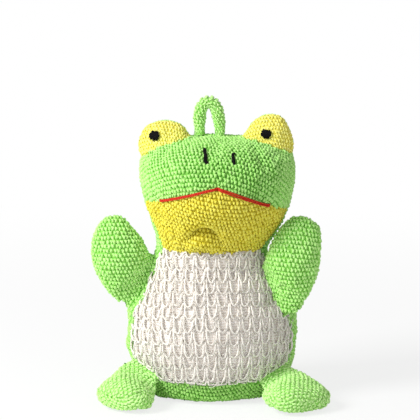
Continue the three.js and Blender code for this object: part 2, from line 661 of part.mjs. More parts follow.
// The lines that the head, the limbs and the loop turn about. A positive turn is arms forwards, toes up.
const hinge = (name, point, axis) => ({ name, point: point.clone().add(toOrigin), axis });
toy.userData.hinges = [
  hinge("head", atHeight(NECK_HEIGHT), UP),
  ...limbs.map(({ name, limb }) => hinge(name, limb.root, limb.seam.clone().multiplyScalar(-limb.side))),
  hinge("loop", loopSeat, new THREE.Vector3(1, 0, 0)),
];

export default toy;
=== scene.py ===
# %% [markdown]
# # A frog for the bath
# This toy is a bath sponge in the shape of a sitting frog. Panels of looped terry cloth are sewn together
# inside out, turned and stuffed, and the belly is a coarse knitted net to scrub with.
# The CAD model gives each panel its place. In this lesson every stuffed form is filled again as cloth,
# gets its pile of yarn loops from Geometry Nodes, and then stands for its CAD solids.

# %% Tools and the CAD frame
import json
import math

import bmesh
import bpy
import numpy as np
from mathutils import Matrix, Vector
from mathutils.bvhtree import BVHTree


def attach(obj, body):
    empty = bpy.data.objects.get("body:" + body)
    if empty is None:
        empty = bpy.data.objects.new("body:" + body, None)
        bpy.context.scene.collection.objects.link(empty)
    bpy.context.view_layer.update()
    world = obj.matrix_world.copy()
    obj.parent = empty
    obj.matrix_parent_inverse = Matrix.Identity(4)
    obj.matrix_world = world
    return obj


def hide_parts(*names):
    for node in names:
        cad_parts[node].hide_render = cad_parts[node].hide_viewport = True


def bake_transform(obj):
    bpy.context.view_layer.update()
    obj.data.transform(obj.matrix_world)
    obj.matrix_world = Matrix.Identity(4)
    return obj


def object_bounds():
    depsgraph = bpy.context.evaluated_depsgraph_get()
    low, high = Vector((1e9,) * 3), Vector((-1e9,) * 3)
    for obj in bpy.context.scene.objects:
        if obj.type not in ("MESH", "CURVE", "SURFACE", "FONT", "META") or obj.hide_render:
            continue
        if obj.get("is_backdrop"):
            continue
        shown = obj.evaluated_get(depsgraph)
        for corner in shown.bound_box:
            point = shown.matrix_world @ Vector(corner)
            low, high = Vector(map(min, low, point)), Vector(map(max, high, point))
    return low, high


MM = 0.001
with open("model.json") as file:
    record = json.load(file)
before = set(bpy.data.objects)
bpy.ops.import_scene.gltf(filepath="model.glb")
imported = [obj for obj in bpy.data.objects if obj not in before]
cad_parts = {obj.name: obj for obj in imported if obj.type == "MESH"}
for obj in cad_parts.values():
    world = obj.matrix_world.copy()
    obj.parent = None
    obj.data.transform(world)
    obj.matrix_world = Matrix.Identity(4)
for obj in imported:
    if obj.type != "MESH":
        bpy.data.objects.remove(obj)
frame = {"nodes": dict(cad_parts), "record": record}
cad_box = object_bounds()
scene = bpy.context.scene

# %% [markdown]
# ## Camera
# The photograph looks at the toy from straight in front and a little above, with a long lens.
# The camera could be aimed by hand, but a target, an elevation and a distance say the same thing
# in three values that are easy to change.

# %% Camera
CAMERA_TARGET = Vector((0.3, 1.3, 116)) * MM
CAMERA_DISTANCE = 1.05
CAMERA_ELEVATION = math.radians(10)
CAMERA_LENS = 150

camera = bpy.data.objects.new("camera", bpy.data.cameras.new("camera"))
scene.collection.objects.link(camera)
camera.data.lens = CAMERA_LENS
towards_camera = Vector((0, -math.cos(CAMERA_ELEVATION), math.sin(CAMERA_ELEVATION)))
camera.location = CAMERA_TARGET + CAMERA_DISTANCE * towards_camera
camera.rotation_euler = (-towards_camera).to_track_quat("-Z", "Y").to_euler()
scene.camera = camera
print("camera at", [round(value, 3) for value in camera.location])

# %% [markdown]
# ## Wiring nodes
# Shaders and Geometry Nodes are both trees of nodes. Wiring them by hand in Python is long, so one small
# class holds a socket and adds a Math node for each operator, and another adds any other node.

# %% Wires and boards
class Wire:
    """An output socket. Arithmetic on it adds Math nodes to its tree."""

    def __init__(self, board, socket):
        self.board = board
        self.socket = socket

    def output(self, name):
        return Wire(self.board, find_socket(self.socket.node.outputs, name))

    def math(self, operation, first, second=0.0):
        return self.board.add("ShaderNodeMath", {"operation": operation}, {0: first, 1: second})

    def __add__(self, other):
        return self.math("ADD", self, other)

    def __radd__(self, other):
        return self.math("ADD", other, self)

    def __sub__(self, other):
        return self.math("SUBTRACT", self, other)

    def __rsub__(self, other):
        return self.math("SUBTRACT", other, self)

    def __mul__(self, other):
        return self.math("MULTIPLY", self, other)

    def __rmul__(self, other):
        return self.math("MULTIPLY", other, self)

    def __truediv__(self, other):
        return self.math("DIVIDE", self, other)

    def __rtruediv__(self, other):
        return self.math("DIVIDE", other, self)

    def sin(self):
        return self.math("SINE", self)

    def cos(self):
        return self.math("COSINE", self)

    def floor(self):
        return self.math("FLOOR", self)


class Board:
    """A node tree that is being wired."""

    def __init__(self, tree):
        self.tree = tree

    def add(self, kind, settings=None, inputs=None):
        """Adds a node: its settings come first, then the values or wires of its inputs."""
        node = self.tree.nodes.new(kind)
        for name, value in (settings or {}).items():
            if name == "stops":
                set_stops(node.color_ramp, value)
            else:
                setattr(node, name, value)
        for name, value in (inputs or {}).items():
            socket = find_socket(node.inputs, name)
            if isinstance(value, (list, tuple)) and value and isinstance(value[0], Wire):
                for wire in value:
                    self.tree.links.new(wire.socket, socket)
            elif isinstance(value, Wire):
                self.tree.links.new(value.socket, socket)
            else:
                socket.default_value = value
        shown = [socket for socket in node.outputs if socket.enabled]
        return Wire(self, shown[0]) if shown else None


def find_socket(sockets, name):
    if isinstance(name, int):
        return sockets[name]
    return next(socket for socket in sockets if socket.name == name and socket.enabled)


def set_stops(ramp, stops):
    while len(ramp.elements) < len(stops):
        ramp.elements.new(1)
    for element, (position, colour) in zip(ramp.elements, stops):
        element.position = position
        element.color = colour


def paint(code):
    """A colour as it is seen, from its hexadecimal code, in the linear values that shaders take."""
    parts = [int(code[i : i + 2], 16) / 255 for i in (0, 2, 4)]
    linear = [part / 12.92 if part <= 0.04045 else ((part + 0.055) / 1.055) ** 2.4 for part in parts]
    return (*linear, 1)


print("wires and boards are ready")

# %% [markdown]
# ## Helpers for Geometry Nodes
# Geometry Nodes make what repeats on this toy: the loops of the pile, the knit of the net and the thread.
# A tree could be drawn by hand in the editor, but a script builds it the same way each time. Each tree has
# named inputs for its sizes, runs as a modifier and leaves a plain mesh behind.

# %% Trees for Geometry Nodes
def new_tree(name, inputs):
    """A Geometry Nodes tree with named inputs, each a kind of socket and its first value."""
    tree = bpy.data.node_groups.new(name, "GeometryNodeTree")
    tree.interface.new_socket("Geometry", in_out="INPUT", socket_type="NodeSocketGeometry")
    for label, (kind, value) in inputs.items():
        socket = tree.interface.new_socket(label, in_out="INPUT", socket_type=f"NodeSocket{kind}")
        if value is not None:
            socket.default_value = value
    tree.interface.new_socket("Geometry", in_out="OUTPUT", socket_type="NodeSocketGeometry")
    board = Board(tree)
    return board, board.add("NodeGroupInput")


def settle(obj):
    """Turns what the modifiers make into a plain mesh and removes them."""
    bpy.context.view_layer.update()
    graph = bpy.context.evaluated_depsgraph_get()
    mesh = bpy.data.meshes.new_from_object(obj.evaluated_get(graph))
    obj.modifiers.clear()
    obj.data = mesh
    return obj


def grow(obj, board, values):
    """Runs a tree on an object with these input values and keeps the result as its mesh."""
    modifier = obj.modifiers.new(board.tree.name, "NODES")
    modifier.node_group = board.tree
    for item in board.tree.interface.items_tree:
        if item.in_out == "INPUT" and item.name in values:
            modifier[item.identifier] = values[item.name]
    return settle(obj)


def triple(board, x, y, z):
    return board.add("ShaderNodeCombineXYZ", {}, {"X": x, "Y": y, "Z": z})


def attribute(board, name, kind="FLOAT_VECTOR"):
    return board.add("GeometryNodeInputNamedAttribute", {"data_type": kind}, {"Name": name})


def store(board, geometry, name, value, kind="FLOAT_VECTOR", domain="POINT"):
    settings = {"data_type": kind, "domain": domain}
    inputs = {"Geometry": geometry, "Name": name, "Value": value}
    return board.add("GeometryNodeStoreNamedAttribute", settings, inputs)


def chance(board, low, high, seed):
    limits = {"Min": low, "Max": high, "Seed": seed}
    return board.add("FunctionNodeRandomValue", {"data_type": "FLOAT"}, limits)


def shake(board, amount, seed):
    return chance(board, -amount, amount, seed)


def vector_sum(board, first, second):
    return board.add("ShaderNodeVectorMath", {"operation": "ADD"}, {0: first, 1: second})


def scaled(board, vector, factor):
    return board.add("ShaderNodeVectorMath", {"operation": "SCALE"}, {0: vector, "Scale": factor})


print("tree helpers are ready")

# %% Short names for common nodes
def position_of(board):
    return board.add("GeometryNodeInputPosition")


def parts_of(board, vector):
    return board.add("ShaderNodeSeparateXYZ", {}, {"Vector": vector})


def circle_of(board, radius, sides):
    size = {"Resolution": sides, "Radius": radius}
    return board.add("GeometryNodeCurvePrimitiveCircle", {"mode": "RADIUS"}, size)


def moved_to(board, geometry, position):
    return board.add("GeometryNodeSetPosition", {}, {"Geometry": geometry, "Position": position})


def joined(board, pieces):
    return board.add("GeometryNodeJoinGeometry", {}, {"Geometry": pieces})


def realized(board, instances):
    return board.add("GeometryNodeRealizeInstances", {}, {"Geometry": instances})


def smooth_shaded(board, geometry):
    return board.add("GeometryNodeSetShadeSmooth", {}, {"Geometry": geometry})


def with_material(board, geometry, material):
    return board.add("GeometryNodeSetMaterial", {}, {"Geometry": geometry, "Material": material})


print("short names are ready")

# %% [markdown]
# ## Places on the cloth
# Pile and net are laid out on the flat pattern of a panel and then carried onto the stuffed panel. They
# could be scattered on the panel itself, but then they wouldn't follow its rows. Sample UV Surface finds
# a place on the flat pattern and reads a value of the cloth there. Points beside the pattern are dropped,
# as scissors would do.

# %% Places on the cloth
PATTERN_INPUTS = {"Middle": ("Vector", None), "Width": ("Float", 0.1), "Length": ("Float", 0.1)}


def pattern_values(pattern):
    """The place and size of a flat pattern, as the trees take them."""
    width, length = pattern["size"]
    return {"Middle": (*pattern["middle"], 0), "Width": width, "Length": length}


def size_inputs(sizes):
    """Named inputs of a tree for sizes in millimetres."""
    return {name: ("Float", value * MM) for name, value in sizes.items()}


def on_cloth(board, cloth, value, place):
    """Reads a value of the cloth at a place on its flat pattern, and whether the place is on the cloth."""
    inputs = {"Mesh": cloth, "Value": value, "UV Map": attribute(board, "pattern"), "Sample UV": place}
    return board.add("GeometryNodeSampleUVSurface", {"data_type": "FLOAT_VECTOR"}, inputs)


def keep_on_cloth(board, cloth, geometry):
    """Drops the points beside the cloth. Their places on the pattern are stored as cut."""
    valid = on_cloth(board, cloth, position_of(board), attribute(board, "cut")).output("Is Valid")
    beside = board.add("FunctionNodeBooleanMath", {"operation": "NOT"}, {0: valid})
    inputs = {"Geometry": geometry, "Selection": beside}
    return board.add("GeometryNodeDeleteGeometry", {"domain": "POINT"}, inputs)


def standing(board, cloth, tip, along_rows=False):
    """A rotation that stands a shape on the cloth and then tips and turns it by some angles."""
    cut = attribute(board, "cut")
    axes = {"Primary Axis": on_cloth(board, cloth, attribute(board, "outward"), cut)}
    if along_rows:
        axes["Secondary Axis"] = on_cloth(board, cloth, attribute(board, "row_direction"), cut)
    upright = board.add("FunctionNodeAxesToRotation", {"primary_axis": "Z", "secondary_axis": "X"}, axes)
    angles = board.add("FunctionNodeEulerToRotation", {}, {"Euler": tip})
    turns = {"Rotation": upright, "Rotate By": angles}
    return board.add("FunctionNodeRotateRotation", {"rotation_space": "LOCAL"}, turns)


print("cloth helpers are ready")

# %% [markdown]
# ## Helpers for meshes
# A mesh could be changed point by point, but that is slow for many thousands of points. So its coordinates
# are read into one array, changed there and written back. A tree of nearest points for each CAD solid
# tells how far away a place is, and which panel it belongs to.

# %% Reading and writing meshes
MERGE = 1e-6


def coordinates(mesh):
    flat = np.empty(3 * len(mesh.vertices))
    mesh.vertices.foreach_get("co", flat)
    return flat.reshape(-1, 3)


def normals_of(mesh):
    flat = np.empty(3 * len(mesh.vertices))
    mesh.vertex_normals.foreach_get("vector", flat)
    return flat.reshape(-1, 3)


def edges_of(mesh):
    flat = np.empty(2 * len(mesh.edges), np.int32)
    mesh.edges.foreach_get("vertices", flat)
    return flat.reshape(-1, 2)


def place(mesh, points):
    mesh.vertices.foreach_set("co", points.ravel())
    mesh.update()


def new_object(name, mesh):
    obj = bpy.data.objects.new(name, mesh)
    scene.collection.objects.link(obj)
    return obj


def cad_copy(name, nodes):
    """A new object with copies of some CAD solids, their loose triangles merged."""
    form = bmesh.new()
    for node in nodes:
        form.from_mesh(frame["nodes"][node].data)
    bmesh.ops.remove_doubles(form, verts=form.verts, dist=MERGE)
    mesh = bpy.data.meshes.new(name)
    form.to_mesh(mesh)
    form.free()
    return new_object(name, mesh)


print("mesh helpers are ready")

# %% Smoothing and melting
DRAW_IN = 0.5
LET_OUT = -0.52


def nearest_tree(mesh):
    return BVHTree.FromPolygons(coordinates(mesh), [tuple(face.vertices) for face in mesh.polygons])


def distances(points, tree):
    return np.array([tree.find_nearest(point)[3] for point in points])


def averaged(values, edges, count):
    """Each point's mean over its neighbours."""
    total = np.zeros((count, values.shape[1]))
    number = np.zeros(count)
    for near, far in ((0, 1), (1, 0)):
        np.add.at(total, edges[:, near], values[edges[:, far]])
        np.add.at(number, edges[:, near], 1)
    return total / np.maximum(number, 1)[:, None]


def smoothed(points, edges, rounds):
    """Evens out a surface without shrinking it: each round draws it in and lets it out again."""
    for _ in range(rounds):
        for share in (DRAW_IN, LET_OUT):
            points = points + share * (averaged(points, edges, len(points)) - points)
    return points


def melt(obj, voxel, rounds):
    """Melts overlapping solids into one closed skin and evens it out."""
    remesh = obj.modifiers.new("melt", "REMESH")
    remesh.mode = "VOXEL"
    remesh.voxel_size = voxel
    settle(obj)
    place(obj.data, smoothed(coordinates(obj.data), edges_of(obj.data), rounds))


def smooth_faces(mesh):
    mesh.polygons.foreach_set("use_smooth", [True] * len(mesh.polygons))


node_trees = {name: nearest_tree(node.data) for name, node in frame["nodes"].items()}
print("nearest-point trees:", len(node_trees))

# %% [markdown]
# ## Stuffed skins
# A stuffed toy is a bag: flat panels joined along seams, blown up by what is inside. It could be sculpted,
# but a cloth simulation knows what seams do. The CAD solids are copied and melted into one skin with
# a voxel remesh, so that head, body and feet join without gaps. The skin is set in by the depth of the pile
# and blown up while its seams are held, so that the panels swell between them. The arms come so close to
# the cheeks that they would melt into them, so they are made with a second copy of the body.

# %% Panels and fillings
SIDES = ("left", "right")
BODY_PANELS = ["belly_net", "body_back", "body_base"]
ARM_PANELS = [f"{side}_arm_{half}" for side in SIDES for half in ("front", "back")]
EYE_PANELS = [f"{side}_eye_{half}" for side in SIDES for half in ("front", "back")]
FOOT_PANELS = [f"{side}_foot_{half}" for side in SIDES for half in ("top", "sole")]
HEAD_PANELS = ["head_top_left", "head_top_right", "chin", "head_back", *EYE_PANELS]
TRUNK_PANELS = [*BODY_PANELS, *HEAD_PANELS, *FOOT_PANELS]
BODY_AND_ARMS = [*BODY_PANELS, *ARM_PANELS]
FILLINGS = [name for name in frame["nodes"] if name.endswith(("_stuffing", "_sponge"))]
print("panels:", len(TRUNK_PANELS) + len(ARM_PANELS), "fillings:", len(FILLINGS))

# %% Setting a skin in and blowing it up
THINNEST = 0.33
RAY_START = 0.1 * MM
EVEN_ROUNDS = 3
SWELL_CAP = 0.9 * MM
SWELL_PRESSURE = 12
SPARE_CLOTH = 0.035
SIMULATION_FRAMES = 20


def set_in(mesh, depth):
    """Moves a skin inwards by a depth, or by less where the form is thin."""
    points, normals, edges = coordinates(mesh), normals_of(mesh), edges_of(mesh)
    tree = nearest_tree(mesh)
    rays = [tree.ray_cast(Vector(p - RAY_START * n), Vector(-n))[3] for p, n in zip(points, normals)]
    through = np.array([depth / THINNEST if ray is None else ray for ray in rays])
    share = np.minimum(depth, THINNEST * through)[:, None]
    for _ in range(EVEN_ROUNDS):
        share = np.minimum(share, averaged(share, edges, len(points)))
    place(mesh, points - share * normals)


def swell(obj, held):
    """Blows the skin up like a bag while the held points stay, and caps how far it moves."""
    start = coordinates(obj.data)
    group = obj.vertex_groups.new(name="held")
    group.add([int(index) for index in np.flatnonzero(held)], 1, "REPLACE")
    cloth = obj.modifiers.new("cloth", "CLOTH")
    cloth.settings.use_pressure = True
    cloth.settings.uniform_pressure_force = SWELL_PRESSURE
    cloth.settings.shrink_min = -SPARE_CLOTH
    cloth.settings.vertex_group_mass = group.name
    cloth.settings.effector_weights.gravity = 0
    cloth.collision_settings.use_collision = False
    cloth.point_cache.frame_start = 1
    cloth.point_cache.frame_end = SIMULATION_FRAMES
    for number in range(1, SIMULATION_FRAMES + 1):
        scene.frame_set(number)
    settle(obj)
    scene.frame_set(1)
    move = coordinates(obj.data) - start
    length = np.linalg.norm(move, axis=1)
    move *= (np.minimum(length, SWELL_CAP) / np.maximum(length, MERGE))[:, None]
    place(obj.data, start + smoothed(move, edges_of(obj.data), 1))
    return length[~held].mean()


print("swelling takes", SIMULATION_FRAMES, "frames")

# %% The two skins
VOXEL = 2.5 * MM
SKIN_DEPTH = 0.9 * MM
SKIN_ROUNDS = 5
SEAM_REACH = 3.2 * MM


def stuffed_skin(name, panels, insides):
    """One closed skin round some panels, set in by the depth of the pile and swelled between its seams."""
    obj = cad_copy(name, [*panels, *insides])
    melt(obj, VOXEL, SKIN_ROUNDS)
    set_in(obj.data, SKIN_DEPTH)
    reach = np.sort([distances(coordinates(obj.data), node_trees[panel]) for panel in panels], axis=0)
    swelled = swell(obj, reach[1] < SEAM_REACH)
    finer = obj.modifiers.new("finer", "SUBSURF")
    finer.levels = 1
    finer.render_levels = 1
    settle(obj)
    print(name, len(obj.data.polygons), "faces, swelled", round(swelled / MM, 2), "mm")
    return obj


arm_insides = [name for name in FILLINGS if "_arm_" in name]
trunk_insides = [name for name in FILLINGS if name not in arm_insides]
trunk = stuffed_skin("trunk", TRUNK_PANELS, [*trunk_insides, "belly_lining"])
arms = stuffed_skin("arms", BODY_AND_ARMS, [*arm_insides, "body_sponge", "belly_lining"])

# %% [markdown]
# ## Lumps and the seat
# Stuffing is never even. A hand pushes it into the corners, so limbs and cheeks have lumps and hollows, and
# the bottom sags until it lies on the floor. This could be sculpted with a brush, but a list of places as
# seen from the front, each with a reach and a push in millimetres, can be read and changed.

# %% Lumps and the seat
SEAT_HEIGHT = 24 * MM
FLOOR_GAP = 0.6 * MM
LUMPS = [
    {"at": (-34, 8), "reach": 7, "push": (1.6, -1.4)},
    {"at": (-37, 6), "reach": 6, "push": (0.9, -1.2)},
    {"at": (-49, 30), "reach": 7, "push": (-2.2, 2.2)},
    {"at": (-65, 19), "reach": 7, "push": (1.3, -1.1)},
    {"at": (68, 8), "reach": 8, "push": (1.6, -1.6)},
    {"at": (65, 20), "reach": 8, "push": (-1.2, -1.6)},
    {"at": (57, 24), "reach": 8, "push": (-0.4, -0.8)},
    {"at": (35, 7), "reach": 6, "push": (-0.9, -1.0)},
    {"at": (64.5, 105.5), "reach": 9, "push": (2.5, 1.0)},
    {"at": (-44.5, 105.5), "reach": 8, "push": (-1.2, -0.7)},
    {"at": (-48.5, 54), "reach": 7, "push": (-2.4, 0)},
    {"at": (-51, 34), "reach": 9, "push": (1.1, 0)},
    {"at": (53.6, 54), "reach": 7, "push": (2.8, 0)},
    {"at": (51, 33), "reach": 16, "push": (1.0, 0)},
    {"at": (-33, 103), "reach": 9, "push": (1.6, 0)},
    {"at": (-38, 166.5), "reach": 8, "push": (-0.8, 0.8)},
    {"at": (50, 165), "reach": 8, "push": (-1.1, -0.5)},
    {"at": (50.5, 152), "reach": 6, "push": (1.0, 0)},
    {"at": (14, 162), "reach": 6, "push": (0, -0.7)},
]


def push_lumps(mesh):
    """Hand stuffing leaves lumps and hollows: pushes the skin aside round some places of the front view."""
    points = coordinates(mesh)
    for lump in LUMPS:
        away = points[:, [0, 2]] / MM - lump["at"]
        share = np.exp(-(away**2).sum(axis=1) / lump["reach"] ** 2)
        points[:, [0, 2]] += np.outer(share, lump["push"]) * MM
    place(mesh, points)


def sit_down(mesh):
    """Lets the filling of the body sag onto the floor, so that its underside is flat."""
    points = coordinates(mesh)
    level = np.clip(points[:, 2] / SEAT_HEIGHT, 0, 1)
    from_feet = np.min([distances(points, node_trees[panel]) for panel in FOOT_PANELS], axis=0)
    points[:, 2] *= 1 - np.clip(from_feet / SEAM_REACH, 0, 1) * (1 - level) ** 2
    points[:, 2] = np.maximum(points[:, 2], FLOOR_GAP)
    place(mesh, points)


for form in (trunk, arms):
    push_lumps(form.data)
sit_down(trunk.data)
print("lumps:", len(LUMPS), "lowest point:", round(coordinates(trunk.data)[:, 2].min() / MM, 2), "mm")

# %% [markdown]
# ## Cutting along the seams
# A maker cuts the panels first and then sews them. That could be done here too, but the filling shapes
# all panels together, so the sewn form comes first. Each face of a skin goes to the nearest CAD panel, and
# the line between two panels is made smooth and drawn in, as a seam is. The real net reaches further out at
# its upper corners than its CAD panel and ends a little higher at the bottom, so the distances to two
# panels are changed there.

# %% Which panel a face belongs to
NET_WIDER = ([60 * MM, 76 * MM, 86 * MM, 92 * MM], [0, 3 * MM, 3 * MM, 0])
NET_SHORTER = ([20 * MM, 32 * MM], [2.6 * MM, 0])
VOTE_ROUNDS = 3
HALF_THE_EDGES = 2


def neighbours_of(mesh):
    """For each face, the faces that share an edge with it."""
    beside = [[] for _ in mesh.polygons]
    first = {}
    for face in mesh.polygons:
        for key in face.edge_keys:
            if key in first:
                beside[face.index].append(first[key])
                beside[first[key]].append(face.index)
            else:
                first[key] = face.index
    return beside


def patches_of(labels, beside):
    """The connected patches of faces with one label, largest first."""
    patches, seen = [], np.zeros(len(labels), bool)
    for start in range(len(labels)):
        if seen[start]:
            continue
        seen[start] = True
        patch = [start]
        for face in patch:
            fresh = [near for near in beside[face] if not seen[near] and labels[near] == labels[start]]
            seen[fresh] = True
            patch.extend(fresh)
        patches.append(patch)
    return sorted(patches, key=len, reverse=True)


def face_labels(form, panels):
    """The panel that each face belongs to, by the nearest CAD solid, one patch for each panel."""
    centres = np.array([face.center for face in form.data.polygons])
    reach = np.array([distances(centres, node_trees[panel]) for panel in panels])
    reach[panels.index("body_back")] += np.interp(centres[:, 2], *NET_WIDER)
    reach[panels.index("belly_net")] += np.interp(centres[:, 2], *NET_SHORTER)
    labels = np.argmin(reach, axis=0)
    beside = neighbours_of(form.data)
    done = set()
    for patch in patches_of(labels, beside):
        label = labels[patch[0]]
        if label in done:
            round_it = [labels[near] for face in patch for near in beside[face] if labels[near] != label]
            labels[patch] = np.bincount(round_it).argmax()
        done.add(label)
    for _ in range(VOTE_ROUNDS):
        votes = [np.bincount(labels[near], minlength=len(panels)) for near in beside]
        clear = [vote.max() > HALF_THE_EDGES for vote in votes]
        labels = np.where(clear, [vote.argmax() for vote in votes], labels)
    return labels


print("net is wider by", max(NET_WIDER[1]) / MM, "mm and shorter by", max(NET_SHORTER[1]) / MM, "mm")

# %% Drawing and cutting the seams
SEAM_DIP = 0.5 * MM
SEAM_ROUNDS = 12
BESIDE_ROUNDS = 3


def even_out(points, chosen, edges, rounds):
    """Moves the chosen points halfway to the mean of their neighbours, some times over."""
    for _ in range(rounds):
        mean = averaged(points, edges, len(points))
        points[chosen] += 0.5 * (mean[chosen] - points[chosen])


def draw_seams(form, labels):
    """Makes the lines between the panels smooth and draws them in a little."""
    sides = {}
    for face, label in zip(form.data.polygons, labels):
        for key in face.edge_keys:
            sides.setdefault(key, set()).add(label)
    seam = np.array([key for key, near in sides.items() if len(near) > 1])
    points = coordinates(form.data)
    on_seam = np.unique(seam)
    even_out(points, on_seam, seam, SEAM_ROUNDS)
    edges = edges_of(form.data)
    near_seam = np.isin(edges, on_seam).any(axis=1)
    beside = np.setdiff1d(np.unique(edges[near_seam]), on_seam)
    even_out(points, beside, edges, BESIDE_ROUNDS)
    points[on_seam] -= SEAM_DIP * normals_of(form.data)[on_seam]
    place(form.data, points)


def cut_panel(name, form, faces):
    """A new object with some of the form's faces."""
    work = bmesh.new()
    work.from_mesh(form.data)
    work.faces.ensure_lookup_table()
    keep = set(int(index) for index in faces)
    bmesh.ops.delete(work, geom=[face for face in work.faces if face.index not in keep], context="FACES")
    mesh = bpy.data.meshes.new(name)
    work.to_mesh(mesh)
    work.free()
    return new_object(name, mesh)


print("cutting is ready")

# %% [markdown]
# ## The flat pattern
# Cloth is knitted in straight rows before it is cut, so its rows have to run straight on the flat pattern
# and bend only with the form. They could be laid by height alone, but on a round form they would crowd or
# spread. So each panel is unwrapped with little stretch, scaled so that the flat pattern is in metres, and
# turned so that its rows lie across the direction that its grain had.

# %% Flat patterns
TINY_AREA = 1e-14
TINY_LENGTH = 1e-12


def triangles_of(mesh):
    mesh.calc_loop_triangles()
    count = len(mesh.loop_triangles)
    corners = np.empty(3 * count, np.int32)
    loops = np.empty(3 * count, np.int32)
    mesh.loop_triangles.foreach_get("vertices", corners)
    mesh.loop_triangles.foreach_get("loops", loops)
    return corners.reshape(-1, 3), loops.reshape(-1, 3)


def stretch_of(points, corners, flat):
    """For each triangle: the cloth's directions along the pattern's width and length, and both areas."""
    a, b = points[corners[:, 1]] - points[corners[:, 0]], points[corners[:, 2]] - points[corners[:, 0]]
    p, q = flat[:, 1] - flat[:, 0], flat[:, 2] - flat[:, 0]
    twice = p[:, 0] * q[:, 1] - p[:, 1] * q[:, 0]
    safe = np.where(np.abs(twice) < TINY_AREA, TINY_AREA, twice)[:, None]
    across = (a * q[:, 1:2] - b * p[:, 1:2]) / safe
    along = (b * p[:, 0:1] - a * q[:, 0:1]) / safe
    return across, along, twice / 2, np.linalg.norm(np.cross(a, b), axis=1) / 2


def unwrapped(obj):
    """Unwraps a panel with little stretch and gives back the flat place of each corner."""
    bpy.ops.object.select_all(action="DESELECT")
    bpy.context.view_layer.objects.active = obj
    obj.select_set(True)
    obj.data.uv_layers.new(name="pattern")
    bpy.ops.object.mode_set(mode="EDIT")
    bpy.ops.mesh.select_all(action="SELECT")
    bpy.ops.uv.unwrap(method="MINIMUM_STRETCH", margin=0)
    bpy.ops.object.mode_set(mode="OBJECT")
    flat = np.empty(2 * len(obj.data.loops))
    obj.data.uv_layers["pattern"].uv.foreach_get("vector", flat)
    return flat.reshape(-1, 2)


def store_directions(mesh, rows, outward):
    """Stores the direction of the rows and the way out of the cloth at each point."""
    for name, values in (("row_direction", rows), ("outward", outward)):
        mesh.attributes.new(name, "FLOAT_VECTOR", "POINT").data.foreach_set("vector", values.ravel())


def store_height(mesh, height):
    """Stores how high the pile stands at each point, as a share of its full height."""
    mesh.attributes.new("height", "FLOAT", "POINT").data.foreach_set("value", height)


print("pattern helpers are ready")

# %% Laying a panel flat
def lay_flat(obj, grain):
    """Unwraps a panel to its flat pattern in metres, with the grain along its length."""
    flat = unwrapped(obj)
    mesh = obj.data
    points = coordinates(mesh)
    corners, loops = triangles_of(mesh)
    _, _, flat_area, area = stretch_of(points, corners, flat[loops])
    if flat_area.sum() < 0:
        flat[:, 0] *= -1
    flat *= math.sqrt(area.sum() / abs(flat_area.sum()))
    across, along, _, area = stretch_of(points, corners, flat[loops])
    lean = np.array([(area * (across @ grain)).sum(), (area * (along @ grain)).sum()])
    turn = math.atan2(lean[0], lean[1])
    cos, sin = math.cos(turn), math.sin(turn)
    flat = flat @ np.array([[cos, sin], [-sin, cos]])
    across, _, _, area = stretch_of(points, corners, flat[loops])
    mesh.uv_layers["pattern"].uv.foreach_set("vector", flat.astype(np.float32).ravel())
    rows = np.zeros_like(points)
    for corner in range(3):
        np.add.at(rows, corners[:, corner], across * area[:, None])
    rows /= np.maximum(np.linalg.norm(rows, axis=1), TINY_LENGTH)[:, None]
    store_directions(mesh, rows, normals_of(mesh))
    low, high = flat.min(axis=0), flat.max(axis=0)
    return {"middle": (low + high) / 2, "size": high - low, "area": area.sum()}


print("flat patterns are ready")

# %% [markdown]
# ## Finishes
# Terry yarn is matt and soft: its loops catch light on their tops and lose it between them, so the colour
# goes from a deep shade at the root of a loop to a pale one at its tip, and a little from loop to loop.
# A picture of cloth could be used, but shades that follow the loops are right from every side. Both values
# are stored on the loops as attributes when they grow. Thread and bast yarn are twisted strands, whose
# twist follows two more attributes, the way along the strand and the way round it.
# Over the right of the muzzle and at the front of the lap the toy lies in shade, so a terry can have a
# second, darker set of shades round one place, as painted shadow.

# %% Helpers for materials
def new_material(name):
    material = bpy.data.materials.new(name)
    material.use_nodes = True
    material.node_tree.nodes.clear()
    return material, Board(material.node_tree)


def finish_material(board, colour, roughness, shine, normal):
    inputs = {"Base Color": colour, "Roughness": roughness, "Specular IOR Level": shine, "Normal": normal}
    shader = board.add("ShaderNodeBsdfPrincipled", {}, inputs)
    board.add("ShaderNodeOutputMaterial", {}, {"Surface": shader})


def read(board, name, part="Fac"):
    return board.add("ShaderNodeAttribute", {"attribute_name": name}).output(part)


def object_place(board):
    return board.add("ShaderNodeTexCoord").output("Object")


def object_noise(board, scale, detail=2):
    inputs = {"Vector": object_place(board), "Scale": scale, "Detail": detail}
    return board.add("ShaderNodeTexNoise", {}, inputs)


def bumped(board, height, strength, distance):
    return board.add("ShaderNodeBump", {}, {"Height": height, "Strength": strength, "Distance": distance})


def ramp(board, level, stops):
    """A colour that follows a level, between shades that each have a level of their own."""
    painted = [(at, paint(shade)) for at, shade in stops]
    return board.add("ShaderNodeValToRGB", {"stops": painted}, {"Fac": level})


def eased(board, value, limits):
    """Goes softly from one end to the other while a value passes between two limits."""
    inputs = {"Value": value, **limits}
    return board.add("ShaderNodeMapRange", {"interpolation_type": "SMOOTHSTEP"}, inputs)


print("material helpers are ready")

# %% Terry
SHADE_LEVELS = (0, 0.55, 1)
TIP_SHARE = 0.8
TUFT_SHARE = 0.22
PATCH_SHARE = 0.3
PATCH_SCALE = 45
FUZZ_SCALE = 2600


